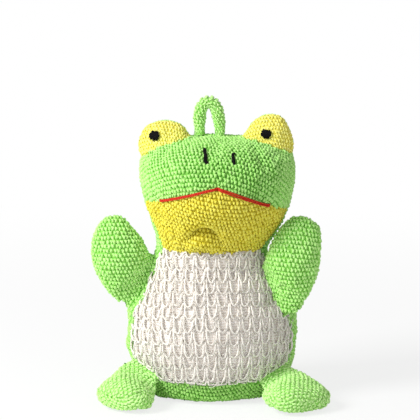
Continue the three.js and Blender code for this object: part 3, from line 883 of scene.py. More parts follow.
def terry(name, shades, shadow_shades=None, region=None):
    """Looped cotton yarn, painted with shade at the roots of the loops and a highlight at their tips, and
    with painted shadow in one region.
    """
    material, board = new_material(name)
    patch = object_noise(board, PATCH_SCALE)
    # Low at the roots and high at the tips of the loops: painted shade between the loops and a painted
    # highlight on their tops; tuft and patch add tone that differs at random.
    level = read(board, "tip") * TIP_SHARE + read(board, "tuft") * TUFT_SHARE + (patch - 0.5) * PATCH_SHARE
    colour = ramp(board, level, zip(SHADE_LEVELS, shades))
    # Round the region the shades are darker: painted shadow.
    if region:
        ends = {0: object_place(board), 1: region["middle"]}
        away = board.add("ShaderNodeVectorMath", {"operation": "DISTANCE"}, ends)
        share = eased(board, away, {"From Min": region["near"], "From Max": region["far"]})
        deep = ramp(board, level, zip(SHADE_LEVELS, shadow_shades))
        colour = board.add("ShaderNodeMix", {"data_type": "RGBA"}, {"Factor": share, "A": deep, "B": colour})
    fuzz = bumped(board, object_noise(board, FUZZ_SCALE, 3), 0.6, 0.3 * MM)
    finish_material(board, colour, 1.0, 0.05, fuzz)
    return material


print("terry is ready")

# %% Thread, plain cloth and filling
STRAND_FIBRES = 1800
CLOTH_FIBRES = 260


def strand(name, colours, plies, twist, depth, shine):
    """Twisted yarn or thread, with a groove between its plies."""
    material, board = new_material(name)
    around = parts_of(board, read(board, "around", "Vector"))
    turn = around.math("ARCTAN2", around.output("Y"), around.output("X"))
    ply = (turn * plies + read(board, "along") * (2 * math.pi / twist)).sin() * 0.5 + 0.5
    fibre = object_noise(board, STRAND_FIBRES, 3)
    # The colour is darker where the strand is low: painted shade in the groove between the plies and among
    # the fibres.
    colour = ramp(board, ply * 0.45 + fibre * 0.6, zip((0.2, 0.8), colours))
    groove = bumped(board, ply * 0.7 + fibre * 0.5, 0.7, depth)
    finish_material(board, colour, 0.65, shine, groove)
    return material


def plain_cloth(name, colours, pitch):
    """Plain weave on the flat pattern."""
    material, board = new_material(name)
    flat = parts_of(board, read(board, "pattern", "Vector"))
    weft = (flat.output("Y") * (2 * math.pi / pitch)).sin()
    warp = (flat.output("X") * (2 * math.pi / pitch)).sin()
    # The colour is darker where weft and warp dip: painted shade in the weave; the noise adds uneven tone.
    level = weft * 0.3 + warp * 0.1 + object_noise(board, CLOTH_FIBRES, 4) * 0.9
    colour = ramp(board, level, zip((0.1, 0.8), colours))
    weave = bumped(board, weft * 0.5 + warp * 0.5, 0.5, 0.2 * MM)
    finish_material(board, colour, 0.95, 0.2, weave)
    return material


def loose_fill(name, colours, scale):
    """Foam or fibre filling: open, matt and uneven."""
    material, board = new_material(name)
    cells = board.add("ShaderNodeTexVoronoi", {}, {"Vector": object_place(board), "Scale": scale})
    # The colour is darker in the hollows of the cells: painted shade; the noise adds uneven tone.
    level = cells * 0.7 + object_noise(board, scale / 6) * 0.5
    colour = ramp(board, level, zip((0.1, 0.7), colours))
    finish_material(board, colour, 1, 0.1, bumped(board, cells, 0.8, 0.5 * MM))
    return material


print("thread, plain cloth and filling are ready")

# %% The finishes of this toy
WEAVE = 1.2 * MM
LINING_WEAVE = 1.6 * MM
# Where the muzzle lies in shadow; the darker shades round it are painted shadow.
MUZZLE_SHADE = {"middle": Vector((14, -36, 128)) * MM, "near": 16 * MM, "far": 52 * MM}
# Where the front of the lap lies in shadow; the darker shades round it are painted shadow.
LAP_SHADE = {"middle": Vector((2, -34, 6)) * MM, "near": 32 * MM, "far": 66 * MM}
# Each set of shades runs from painted shade at the roots of the loops to a painted highlight at their tips.
GREEN = ("9edc6a", "b2ed82", "c8f89b")
# A darker copy of the green: painted shadow over the muzzle.
MUZZLE_SHADE_GREEN = ("6eb244", "98d868", "bcf08e")
# A darker copy of the green: painted shadow at the front of the lap.
LAP_SHADE_GREEN = ("76b84a", "92cf64", "aee080")
# A paler copy of the green, with less painted shade at the roots: painted light on the feet and the loop.
SOFT_LIT_GREEN = ("b8f08a", "c6f898", "d2fca8")
YELLOW = ("d0c22c", "e4d646", "f4ec6a")
# A paler copy of the yellow, with less painted shade at the roots: painted light on the eyes.
SOFT_LIT_YELLOW = ("f0e55e", "f7f074", "fcf890")


def terry_cloth(pile, ground, weave, shades, shadow_shades=None, region=None):
    """The two finishes of a terry cloth: its pile, and the ground weave between the loops."""
    # The ground weave is a little darker, near the roots of the loops, so it carries their painted shade.
    return terry(pile, shades, shadow_shades, region), plain_cloth(ground, weave, WEAVE)


# The muzzle and lap cloths, and their grounds, are darker copies of the green, painted shadow; the soft
# cloths are paler copies, painted light.
TERRY = {
    "green": terry_cloth("green_terry", "green_ground", ("90d25c", "a6e272"), GREEN),
    "muzzle shade green": terry_cloth(
        "green_muzzle_shade", "green_muzzle_shade_ground", ("74b84a", "8ac85c"), GREEN, MUZZLE_SHADE_GREEN, MUZZLE_SHADE
    ),
    "soft green": terry_cloth("green_soft", "green_soft_ground", ("a4e272", "b8f088"), SOFT_LIT_GREEN),
    "lap shade green": terry_cloth(
        "green_lap_shade", "green_lap_shade_ground", ("80c250", "98d666"), GREEN, LAP_SHADE_GREEN, LAP_SHADE
    ),
    "yellow": terry_cloth("yellow_terry", "yellow_ground", ("cabc2c", "e0d244"), YELLOW),
    "soft yellow": terry_cloth("yellow_soft", "yellow_soft_ground", ("e6da50", "f2ea70"), SOFT_LIT_YELLOW),
}
LINING = plain_cloth("lining", ("e6dbd1", "fffcf8"), LINING_WEAVE)
BAST = strand("bast_yarn", ("f0e6da", "fffdf8"), 3, 2.6 * MM, 0.3 * MM, 0.3)
BLACK = strand("black_thread", ("030303", "100e11"), 2, 1.6 * MM, 0.15 * MM, 0.12)
RED = strand("red_thread", ("a3170a", "e2331a"), 2, 1.6 * MM, 0.15 * MM, 0.25)
FOAM = loose_fill("foam", ("cdbd8b", "f0e6c8"), 700)
FIBRE = loose_fill("fibrefill", ("d9d9d6", "f6f6f4"), 900)
print("terry:", list(TERRY), "others:", [each.name for each in (LINING, BAST, BLACK, RED, FOAM, FIBRE)])

# %% [markdown]
# ## Terry pile
# Each nub of the cloth is a loop of soft yarn that stands out of the ground weave, in rows a few
# millimetres apart. Loops could be scattered at random, but the rows are what makes it look knitted.
# The tree lays a grid of points on the flat pattern, shifts every second row by half a stitch, carries the
# points onto the stuffed panel and sets a nub of two loops on each, a little uneven in size and turn.
# A height that is stored on the cloth makes the nubs lower where they are pressed.

# %% One nub of the pile
ARC_PAST = 0.6
LOOP_STRETCH = 1.15
LOOP_TWIST = 0.35
LOOP_TIP = 0.25
YARN_SIDES = 5
NUB = (
    {"size": 1, "turn": 0, "shift": (0, 0, 0), "points": 6},
    {"size": 0.85, "turn": 0.7, "shift": (0.25 * MM, 0.7 * MM, 0), "points": 5},
)


def yarn_loop(board, given, size, turn, shift, points):
    """One arch of yarn that stands on the ground weave."""
    radius, rise = given.output("Loop radius"), given.output("Loop rise")
    sweep = {"Start Angle": -ARC_PAST, "Sweep Angle": math.pi + 2 * ARC_PAST}
    inputs = {"Resolution": points, "Radius": radius, **sweep}
    arc = board.add("GeometryNodeCurveArc", {"mode": "RADIUS"}, inputs)
    spot = parts_of(board, position_of(board))
    across, up = spot.output("X"), spot.output("Y") * LOOP_STRETCH
    stood = triple(board, across, across * LOOP_TWIST + up * LOOP_TIP, up + rise)
    # How high a point stands in the loop, stored as tip: from it the shader paints shade at the root and a
    # highlight at the tip.
    height = spot.output("Z") / (radius * LOOP_STRETCH + rise)
    arch = store(board, moved_to(board, arc, stood), "tip", height, "FLOAT")
    circle = circle_of(board, given.output("Yarn radius"), YARN_SIDES)
    tube = board.add("GeometryNodeCurveToMesh", {}, {"Curve": arch, "Profile Curve": circle})
    move = {"Geometry": tube, "Translation": shift, "Rotation": (0, 0, turn), "Scale": (size, size, size)}
    return board.add("GeometryNodeTransform", {}, move)


print("loops in a nub:", len(NUB))

# %% The pile's tree
PILE_SIZES = {"Row": 2.5, "Stitch": 2.1, "Loop radius": 0.66, "Loop rise": 0.2, "Yarn radius": 0.74}
UNEVEN = {"sideways": 0.15, "lengthways": 0.12, "lean": 0.25, "turn": 0.35}
NUB_WIDTH = (0.88, 1.14)
NUB_HEIGHT = (0.82, 1.2)


def pile_places(board, given):
    """A grid of places on the flat pattern, with every second row shifted by half a stitch."""
    names = ("Seed", "Width", "Length", "Row", "Stitch")
    seed, width, length, row, stitch = [given.output(name) for name in names]
    rows = (length / row).floor()
    size = {"Size X": width, "Size Y": length, "Vertices X": width / stitch + 1, "Vertices Y": rows + 1}
    grid = board.add("GeometryNodeMeshGrid", {}, size)
    position = position_of(board)
    level = parts_of(board, position).output("Y")
    half = ((level / length + 0.5) * rows + 0.5).floor() * 0.5
    odd = (half - half.floor()) * 2
    sideways = (odd - 0.5) * stitch * 0.5 + shake(board, UNEVEN["sideways"], seed) * stitch
    lengthways = shake(board, UNEVEN["lengthways"], seed + 1) * row
    shift = vector_sum(board, given.output("Middle"), triple(board, sideways, lengthways, 0))
    return store(board, grid, "cut", vector_sum(board, position, shift))


def pile_tree():
    """Nubs in rows on a panel, over its ground weave."""
    finishes = {"Ground": ("Material", None), "Pile": ("Material", None)}
    others = {"Turn": ("Float", 1.0), "Seed": ("Int", 1), **finishes}
    board, given = new_tree("terry pile", {**PATTERN_INPUTS, **size_inputs(PILE_SIZES), **others})
    cloth, seed = given.output("Geometry"), given.output("Seed")
    points = keep_on_cloth(board, cloth, pile_places(board, given))
    cut = attribute(board, "cut")
    points = moved_to(board, points, on_cloth(board, cloth, position_of(board), cut))
    lean = shake(board, UNEVEN["lean"], seed + 2)
    turn = given.output("Turn") + shake(board, UNEVEN["turn"], seed + 3)
    turned = standing(board, cloth, triple(board, lean, 0, turn), along_rows=True)
    full = triple(board, 0, 0, attribute(board, "height", "FLOAT"))
    press = parts_of(board, on_cloth(board, cloth, full, cut)).output("Z")
    wide = chance(board, *NUB_WIDTH, seed + 4)
    scale = triple(board, wide, wide, chance(board, *NUB_HEIGHT, seed + 5) * press)
    nub = joined(board, [yarn_loop(board, given, **arch) for arch in NUB])
    inputs = {"Points": points, "Instance": nub, "Rotation": turned, "Scale": scale}
    loops = board.add("GeometryNodeInstanceOnPoints", {}, inputs)
    loops = store(board, loops, "tuft", chance(board, 0, 1, seed + 6), "FLOAT", "INSTANCE")
    loops = smooth_shaded(board, realized(board, loops))
    loops = with_material(board, loops, given.output("Pile"))
    ground = with_material(board, cloth, given.output("Ground"))
    board.add("NodeGroupOutput", {}, {"Geometry": joined(board, [loops, ground])})
    return board


PILE_TREE = pile_tree()
print("pile tree:", len(PILE_TREE.tree.nodes), "nodes")

# %% [markdown]
# ## Hanging loop
# The loop is a short cord of the same terry, with both ends sewn into the crown, and it stands up by itself.
# Its route could be half an ellipse, but the real one is squarer and leans to the left, so a power and
# a lean are added. It is carried a little way down into the head at each end. The tube under the pile has
# its own flat pattern, unrolled along the cord, so that the same tree can grow on it. It stays where it is
# and rides on no body.

# %% Hanging loop
LOOP_SPREAD = 6.1 * MM
LOOP_HEIGHT = 16.6 * MM
LOOP_SQUARE = 0.82
LOOP_LEAN = 0.9 * MM
LOOP_SUNK = 3.3 * MM
LOOP_DIAMETER = 7 * MM
LOOP_CORE = 2.8 * MM
LOOP_STEPS = 64
LOOP_SIDES = 16
LOOP_END_PILE = 0.3
LOOP_SEED = 900
LOOP_PILE = {"Row": 1.9, "Stitch": 1.7, "Loop radius": 0.5, "Loop rise": 0.4, "Yarn radius": 0.48}

record = frame["record"]
hinge_of = {joint["child"]: joint for joint in record["behaviour"]["joints"]}
seat = np.array(hinge_of["loop"]["pos_m"])
angles = np.linspace(math.pi, 0, LOOP_STEPS)
wide = np.sign(np.cos(angles)) * np.abs(np.cos(angles)) ** LOOP_SQUARE
tall = np.abs(np.sin(angles)) ** LOOP_SQUARE
arch = np.stack([LOOP_SPREAD * wide - LOOP_LEAN * tall, 0 * angles, LOOP_HEIGHT * tall], axis=1)
drop = np.array([0, 0, LOOP_SUNK])
route = seat + np.concatenate([arch[:1] - drop, arch, arch[-1:] - drop])
print("route of the loop:", len(route), "points")

# %% A tube with a flat pattern
def tube_along(name, route, radius, sides):
    """A round tube along a route square to Y, with a flat pattern and a pile that is low at its ends."""
    steps = np.linalg.norm(np.diff(route, axis=0), axis=1)
    way = np.concatenate([[0], np.cumsum(steps)])
    ahead = np.gradient(route, way, axis=0)
    ahead /= np.linalg.norm(ahead, axis=1)[:, None]
    sideways = np.array([0, 1.0, 0])
    outer = np.cross(sideways, ahead)
    turns = np.linspace(0, 2 * math.pi, sides, endpoint=False)
    spokes = np.cos(turns)[None, :, None] * outer[:, None] + np.sin(turns)[None, :, None] * sideways
    points = (route[:, None] + radius * spokes).reshape(-1, 3)
    faces, flat = [], []
    for step in range(len(route) - 1):
        for side in range(sides):
            beyond = (side + 1) % sides
            ring, following = step * sides, (step + 1) * sides
            faces.append((ring + side, ring + beyond, following + beyond, following + side))
            for turn, part in ((side, step), (side + 1, step), (side + 1, step + 1), (side, step + 1)):
                flat.append((radius * 2 * math.pi * turn / sides, way[part]))
    mesh = bpy.data.meshes.new(name)
    mesh.from_pydata(points, [], faces)
    mesh.uv_layers.new(name="pattern").uv.foreach_set("vector", np.array(flat, np.float32).ravel())
    rows = np.cross(np.repeat(ahead, sides, axis=0), spokes.reshape(-1, 3))
    store_directions(mesh, rows, spokes.reshape(-1, 3))
    from_end = np.minimum(way, way[-1] - way)
    height = np.interp(from_end, [LOOP_SUNK, LOOP_SUNK + LOOP_DIAMETER], [LOOP_END_PILE, 1])
    store_height(mesh, np.repeat(height, sides))
    return new_object(name, mesh), way[-1]


loop, loop_length = tube_along("terry_loop", route, LOOP_CORE, LOOP_SIDES)
girth = 2 * math.pi * LOOP_CORE
loop_values = pattern_values({"middle": (girth / 2, loop_length / 2), "size": (girth, loop_length)})
loop_values.update({name: value * MM for name, value in LOOP_PILE.items()})
loop_pile, loop_ground = TERRY["soft green"]
grow(loop, PILE_TREE, {**loop_values, "Seed": LOOP_SEED, "Ground": loop_ground, "Pile": loop_pile})
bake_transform(loop)
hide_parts("hanging_loop")
print("loop:", round(loop_length / MM, 1), "mm long,", len(loop.data.polygons), "faces")

# %% [markdown]
# ## The tuck in the chin
# Under the mouth the cloth is pinched into a short fold, so the toy gets a chin. It could be simulated with
# a drawn thread, but its shape is plain: a curved line that dips into the filling, with a swelling below.
# The fibre of the head is pinched in the same way later, so that it stays under the cloth.

# %% The tuck in the chin
TUCK_MIDDLE = Vector((-3.4, 0, 107)) * MM
TUCK_WIDTH = 9 * MM
TUCK_SAG = 4.2 * MM
TUCK_DEPTH = 6 * MM
TUCK_NARROW = 3.0 * MM
BULGE_DROP = 6.5 * MM
BULGE_SIZE = 4.5 * MM
BULGE_HEIGHT = 2 * MM
FACING_FRONT = -0.2


def pinch(mesh):
    """Draws the front of a skin in along a curved line and lets it swell below."""
    points, normals = coordinates(mesh), normals_of(mesh)
    across = (points[:, 0] - TUCK_MIDDLE.x) / TUCK_WIDTH
    above = points[:, 2] - (TUCK_MIDDLE.z - TUCK_SAG * across**2)
    fade = np.exp(-(across**4)) * (normals[:, 1] < FACING_FRONT)
    dip = TUCK_DEPTH * np.exp(-((above / TUCK_NARROW) ** 2))
    bulge = BULGE_HEIGHT * np.exp(-(((above + BULGE_DROP) / BULGE_SIZE) ** 2))
    place(mesh, points + ((bulge - dip) * fade)[:, None] * normals)
    return (dip * fade).max()


print("tuck:", round(pinch(trunk.data) / MM, 2), "mm deep")

# %% [markdown]
# ## Where the face is stitched
# Mouth, nostrils and pupils are embroidered through the cloth, and the thread presses the pile down.
# So the routes of the stitches are laid on the skin first. They could be drawn anew, but the middle of each
# CAD solid is already in the right place, so a route takes only its height from the skin. A strand comes
# out of the cloth, lies on the pile and goes in again, so its ends are low.

# %% Routes on the skin
STITCH_LIFT = 1.7 * MM
STITCH_POWER = 6
UP = np.array([0, 0, 1.0])
skin_tree = nearest_tree(trunk.data)
random = np.random.default_rng(7)


def middle_line(node, axis, count):
    """Points along the middle of a slender CAD solid."""
    points = coordinates(frame["nodes"][node].data)
    points = points[np.argsort(points[:, axis])]
    return np.array([part.mean(axis=0) for part in np.array_split(points, count)])


def laid_on_skin(points, lifts):
    """The nearest points of the skin, each lifted off it."""
    found = [skin_tree.find_nearest(Vector(point)) for point in points]
    spots, normals = np.array([hit[0] for hit in found]), np.array([hit[1] for hit in found])
    return spots + np.array(lifts)[:, None] * normals


def sewn_lifts(count, lift):
    """The height of a stitch along its way, which starts and ends in the cloth."""
    way = np.abs(np.linspace(-1, 1, count))
    return lift * np.sqrt(np.maximum(0, 1 - way**STITCH_POWER))


print("stitches lie", STITCH_LIFT / MM, "mm above the skin")

# %% Mouth and nostrils
MOUTH_POINTS = 9
MOUTH_RISE = 0.7 * MM
MOUTH_PAST = 0.6
MOUTH_APART = {"left": 0.35, "right": 0.55}
NOSTRIL_POINTS = 7
NOSTRIL_LIFT = STITCH_LIFT - 0.4 * MM
NOSTRIL_SHIFTS = np.array([(-0.35, 0, 0), (0.35, 0, 0.5), (0, 0, -0.3)]) * MM


def mouth_strands(side, inner):
    """Two strands side by side, from the corner of the mouth to the seam in the middle of the muzzle."""
    line = middle_line(f"{side}_mouth_stitch", 0, MOUTH_POINTS) + MOUTH_RISE * UP
    if side == "right":
        line = line[::-1]
    corner = (1 + MOUTH_PAST) * line[0] - MOUTH_PAST * line[1]
    line = np.concatenate([[corner], line, [inner]])
    apart = MOUTH_APART[side] * MM * UP
    return [laid_on_skin(line + shift, sewn_lifts(len(line), STITCH_LIFT)) for shift in (apart, -apart)]


def nostril_strands(side, keep, rise, lean, bow):
    """Three strands over each other, which lean and bow a little to the left."""
    line = middle_line(f"{side}_nostril", 2, NOSTRIL_POINTS)[keep] + rise * UP
    way = np.linspace(0, 1, len(line))
    line[:, 0] -= lean * way + bow * np.sin(math.pi * way)
    lifts = sewn_lifts(len(line), NOSTRIL_LIFT)
    return [laid_on_skin(line + shift, lifts) for shift in NOSTRIL_SHIFTS]


mouth_left = middle_line("left_mouth_stitch", 0, MOUTH_POINTS)[-1]
mouth_right = middle_line("right_mouth_stitch", 0, MOUTH_POINTS)[0]
inner = (mouth_left + mouth_right) / 2 + 2 * MOUTH_RISE * UP
stitches = {f"{side}_mouth_stitch": mouth_strands(side, inner) for side in SIDES}
stitches["left_nostril"] = nostril_strands("left", slice(0, 7), 1.6 * MM, 1.2 * MM, 0)
stitches["right_nostril"] = nostril_strands("right", slice(1, 7), 0.3 * MM, 0, 1.1 * MM)
print("strands:", {name: len(strands) for name, strands in stitches.items()})

# %% Pupils
PUPIL_RADIUS = 2.95 * MM
PUPIL_STRANDS = 11
PUPIL_POINTS = 7
PUPIL_EDGE = 0.93
PUPIL_ENDS = (-0.3, 0.14)
PUPIL_CROWN = 0.8 * MM
PUPIL_LIFT = 0.5 * MM


def pupil_strands(node):
    """Satin stitch: strands side by side that fill a disc, with uneven ends."""
    middle = Vector(coordinates(frame["nodes"][node].data).mean(axis=0))
    spot, normal, _, _ = [np.array(value) for value in skin_tree.find_nearest(middle)]
    right = np.cross(UP, normal)
    right /= np.linalg.norm(right)
    up = np.cross(normal, right)
    strands = []
    for offset in np.linspace(-PUPIL_EDGE, PUPIL_EDGE, PUPIL_STRANDS):
        low, high = PUPIL_RADIUS * (math.sqrt(1 - offset**2) + random.uniform(*PUPIL_ENDS, 2))
        shares = np.linspace(-1, 1, PUPIL_POINTS)
        ends = np.where(shares < 0, low, high) * shares
        line = [spot + PUPIL_RADIUS * offset * right + end * up for end in ends]
        crown = PUPIL_CROWN * np.sqrt(1 - shares**2)
        strands.append(laid_on_skin(line, [PUPIL_LIFT] * len(line)) + np.outer(crown, normal))
    return strands


for side in SIDES:
    stitches[f"{side}_pupil"] = pupil_strands(f"{side}_pupil")
print("strands in a pupil:", PUPIL_STRANDS)

# %% [markdown]
# ## Panels of terry
# The skin is cut along its seams, and each panel gets its flat pattern and its pile. A panel rides on the
# body that its CAD solid belongs to. All panels could ride like that, but then gaps would open at the neck,
# the shoulders and the ankles when they move. So a panel that reaches close to the hinge of the head, an arm
# or a foot stays where it is and rides on no body.

# %% Riding on bodies
BEND_START = {"head": 0.5 * MM, "arm": 1.5 * MM, "foot": 1.5 * MM}
BEND_END = {"head": 18 * MM, "arm": 12 * MM, "foot": 10 * MM}
body_of = {node: body for body, nodes in record["behaviour"]["bodies"].items() for node in nodes}
slot_of = {part["node"]: part["material_slot"] for part in record["subparts"]}


def away_from_hinge(body):
    """The direction from a seam into the limb or head beyond it, square to its hinge."""
    hinge = hinge_of[body]
    if body == "head":
        return Vector(hinge["axis"])
    points = np.concatenate([coordinates(frame["nodes"][n].data) for n in body_of if body_of[n] == body])
    axis = Vector(hinge["axis"]).normalized()
    away = Vector(points.mean(axis=0)) - Vector(hinge["pos_m"])
    return (away - away.dot(axis) * axis).normalized()


def sew_on(obj, body):
    """A piece rides on its body, but one that reaches close to the hinge of the head, an arm or a foot stays
    where it is.
    """
    kind = body.split("_")[-1]
    if kind not in BEND_START:
        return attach(obj, body)
    away, root = away_from_hinge(body), Vector(hinge_of[body]["pos_m"])
    nearest = ((coordinates(obj.data) - np.array(root)) @ np.array(away)).min()
    if nearest > BEND_END[kind]:
        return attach(obj, body)
    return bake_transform(obj)


def stand_for(obj, node):
    """A piece takes the place of a CAD solid: it rides on its body or stays, and the solid is hidden."""
    sew_on(obj, body_of[node])
    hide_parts(node)


directions = {body: [round(v, 2) for v in away_from_hinge(body)] for body in ("left_arm", "left_foot")}
print("directions:", directions)

# %% [markdown]
# ## A pile for each panel
# All the terry is one kind of cloth, but it doesn't look the same everywhere. Over the muzzle and at the lap
# it has darker shades, painted shadow; on the small eyes and feet its pile is finer and softer, with paler
# shades, painted light; and beside a stitch, under the loop and on the floor it is pressed. Each panel could
# have a tree of its own, but other sizes, shades and heights for the same tree are enough.

# %% Pile, grain and shades of a panel
ACROSS = np.array([1.0, 0, 0])
GRAINS = {
    "left_foot": ACROSS,
    "right_foot": ACROSS,
    "body_base": np.array([0, -1.0, 0]),
    "head_top_left": UP - 0.2 * ACROSS,
    "head_top_right": UP + 0.45 * ACROSS,
    "chin": UP + 0.15 * ACROSS,
}
SOFT_PILE = {
    "eye": {"Row": 2.1, "Stitch": 1.8, "Loop radius": 0.58, "Yarn radius": 0.62},
    "foot": {"Row": 2.5, "Stitch": 2.0, "Loop radius": 0.62, "Yarn radius": 0.66},
}
SOFT_HEIGHT = {"eye": 0.55, "foot": 0.7}
BACK_PILE = {"Row": 2.7, "Stitch": 2.25}
# Panels that take painted shadow round the muzzle.
MUZZLE_SHADE_PANELS = ("head_top_left", "head_top_right")
PRESSED = 0.25
PRESS_NEAR = 1.2 * MM
PRESS_FAR = 3.2 * MM
LOOP_SWAY = MM * np.array([(x, y, 0) for x in (-2, 0, 2) for y in (-8, -6, -4, -2, 2, 4, 6, 8)])
swept = np.concatenate([route, route[1] + LOOP_SWAY, route[-2] + LOOP_SWAY])
pressed_by = np.concatenate([strand for strands in stitches.values() for strand in strands] + [swept])


def soft_kind(panel):
    """Which of the small forms with a softer pile a panel belongs to, if any."""
    return next((kind for kind in SOFT_PILE if kind in panel), None)


def terry_for(panel):
    """Pile and ground of a panel: painted shadow over the muzzle and base, soft and paler, painted light, on
    small forms.
    """
    colour = slot_of[panel].split("_")[0]
    # Eyes and feet take paler shades: painted light.
    if soft_kind(panel):
        return TERRY[f"soft {colour}"]
    # The base takes the darker shades of the lap: painted shadow.
    if panel == "body_base":
        return TERRY["lap shade green"]
    return TERRY["muzzle shade green"] if panel in MUZZLE_SHADE_PANELS else TERRY[colour]


def press_pile(mesh, full):
    """Stores how high the pile stands: low beside the stitches, under the loop's sway and on the floor."""
    points = coordinates(mesh)
    gaps = np.array([np.linalg.norm(pressed_by - point, axis=1).min() for point in points])
    height = full * np.interp(gaps, [PRESS_NEAR, PRESS_FAR], [PRESSED, 1])
    height *= np.interp(points[:, 2], [PRESS_NEAR, PRESS_FAR], [PRESSED, 1])
    store_height(mesh, height)


print("points that press the pile:", len(pressed_by))

# %% Panels of terry
SEED_STEP = 100


def cut_cloths(form, panels, wanted):
    """Cuts the wanted panels out of a skin and lays out their flat patterns."""
    labels = face_labels(form, panels)
    draw_seams(form, labels)
    cloths = {}
    for panel in wanted:
        cloth = cut_panel(f"{panel}_cloth", form, np.flatnonzero(labels == panels.index(panel)))
        grain = GRAINS.get(panel, GRAINS.get(body_of[panel], UP))
        cloths[panel] = (cloth, lay_flat(cloth, grain))
        press_pile(cloth.data, SOFT_HEIGHT.get(soft_kind(panel), 1))
    return cloths


cloths = cut_cloths(trunk, TRUNK_PANELS, TRUNK_PANELS)
cloths.update(cut_cloths(arms, BODY_AND_ARMS, ARM_PANELS))
terry_cloths = {panel: parts for panel, parts in cloths.items() if slot_of[panel].endswith("terry")}
for number, (panel, (cloth, pattern)) in enumerate(terry_cloths.items()):
    pile, ground = terry_for(panel)
    values = pattern_values(pattern)
    sizes = BACK_PILE if panel == "body_back" else SOFT_PILE.get(soft_kind(panel), {})
    values.update({name: value * MM for name, value in sizes.items()})
    grow(cloth, PILE_TREE, {**values, "Seed": SEED_STEP * number, "Ground": ground, "Pile": pile})
    stand_for(cloth, panel)
    print(cloth.name, len(cloth.data.polygons), "faces")
for form in (trunk, arms):
    bpy.data.objects.remove(form)

# %% [markdown]
# ## Belly lining and net
# The scrubbing side is a net of coarse bast yarn over a thin pale cloth. In a knit, each row is one yarn
# that goes up and down in loops, each loop hooked through the row below. So a row is one curve with
# a formula for its way across, its way up and its depth, and the tree lays it on the flat pattern of the
# belly. It could be a picture on the cloth, but a net has depth and gaps. Bast is a split fibre that frays,
# so thin fibres follow each row by uneven ways of their own, and short stray ends lie over the net.

# %% Yarn and rows
POINTS_IN_STITCH = 22


def yarn_tube(board, curve, radius, sides, scale=1.0):
    """A tube along a curve that carries the way along it and the way round it."""
    circle = store(board, circle_of(board, 1.0, sides), "around", position_of(board))
    way = board.add("GeometryNodeSplineParameter").output("Length")
    curve = store(board, curve, "along", way, "FLOAT")
    inputs = {"Curve": curve, "Profile Curve": circle, "Scale": radius * scale, "Fill Caps": True}
    return smooth_shaded(board, board.add("GeometryNodeCurveToMesh", {}, inputs))


def net_rows(board, given):
    """One straight line of points for each row of the knit, laid on the flat pattern."""
    width, length, row = [given.output(name) for name in ("Width", "Length", "Row")]
    ends = {"Start": triple(board, width * -0.5, 0, 0), "End": triple(board, width * 0.5, 0, 0)}
    line = board.add("GeometryNodeCurvePrimitiveLine", {"mode": "POINTS"}, ends)
    count = {"Curve": line, "Count": width / given.output("Stitch") * POINTS_IN_STITCH}
    line = board.add("GeometryNodeResampleCurve", {}, count)
    inputs = {"Count": length / row + 1, "Start Location": triple(board, 0, length * -0.5, 0)}
    inputs["Offset"] = triple(board, 0, row, 0)
    levels = board.add("GeometryNodeMeshLine", {"mode": "OFFSET", "count_mode": "TOTAL"}, inputs)
    rows = board.add("GeometryNodeInstanceOnPoints", {}, {"Points": levels, "Instance": line})
    return realized(board, rows)


def shaken(board, scale, seed):
    """Three uneven values round nought that follow the place on the pattern."""
    inputs = {"Vector": position_of(board), "W": seed, "Scale": scale, "Detail": 2.0}
    noise = board.add("ShaderNodeTexNoise", {"noise_dimensions": "4D"}, inputs)
    values = parts_of(board, noise.output("Color"))
    return [values.output(axis) - 0.5 for axis in "XYZ"]


def lay_on_cloth(board, cloth, geometry):
    """Carries points from the flat pattern onto the cloth, each lifted by its own height."""
    kept = keep_on_cloth(board, cloth, geometry)
    cut = attribute(board, "cut")
    outward = on_cloth(board, cloth, attribute(board, "outward"), cut)
    lift = scaled(board, outward, attribute(board, "height", "FLOAT"))
    return moved_to(board, kept, vector_sum(board, on_cloth(board, cloth, position_of(board), cut), lift))


print("yarn and rows are ready")

# %% The knit and its stray ends
SLOW_NOISE = 38.0
QUICK_NOISE = 130.0
LOOSE_NOISE = 330.0
HAIR_ARC = {"Resolution": 7, "Radius": 4 * MM, "Sweep Angle": 1.5}
HAIR_SIDES = 4
HAIR_THICKNESS = 0.28
HAIR_LIFT = (0.8 * MM, 2.0 * MM)
HAIR_LEAN = 0.25
HAIR_SIZE = (0.4, 1.2)


def knit(board, given, rows, fray, seed, thickness, sides):
    """The yarn of all rows, or a fibre that has come loose from it by an uneven way."""
    stitch, depth, wobble = [given.output(name) for name in ("Stitch", "Depth", "Wobble")]
    flat = parts_of(board, position_of(board))
    slow, quick = shaken(board, SLOW_NOISE, 1.0), shaken(board, QUICK_NOISE, 2.0)
    loose = shaken(board, LOOSE_NOISE, seed)
    stray = [s * given.output("Drift") + q * wobble + f * fray for s, q, f in zip(slow, quick, loose)]
    turn = flat.output("X") * (2 * math.pi) / stitch
    swing = (turn * 2).sin() * given.output("Swing")
    across = flat.output("X") + swing + turn.sin() * given.output("Opening")
    reach = given.output("Loop height") * (quick[2] * 0.4 + 0.5)
    up = flat.output("Y") - turn.cos() * reach
    spot = triple(board, across + stray[0], up + stray[1], 0)
    height = given.output("Lift") - (turn * 2).cos() * depth + turn.cos() * depth * 0.8
    height = height + quick[2] * wobble * 0.2 + (loose[2] + 0.2) * fray * 0.25
    rows = store(board, rows, "cut", vector_sum(board, spot, given.output("Middle")))
    rows = store(board, rows, "height", height, "FLOAT")
    rows = lay_on_cloth(board, given.output("Geometry"), rows)
    return yarn_tube(board, rows, given.output("Yarn radius"), sides, thickness)


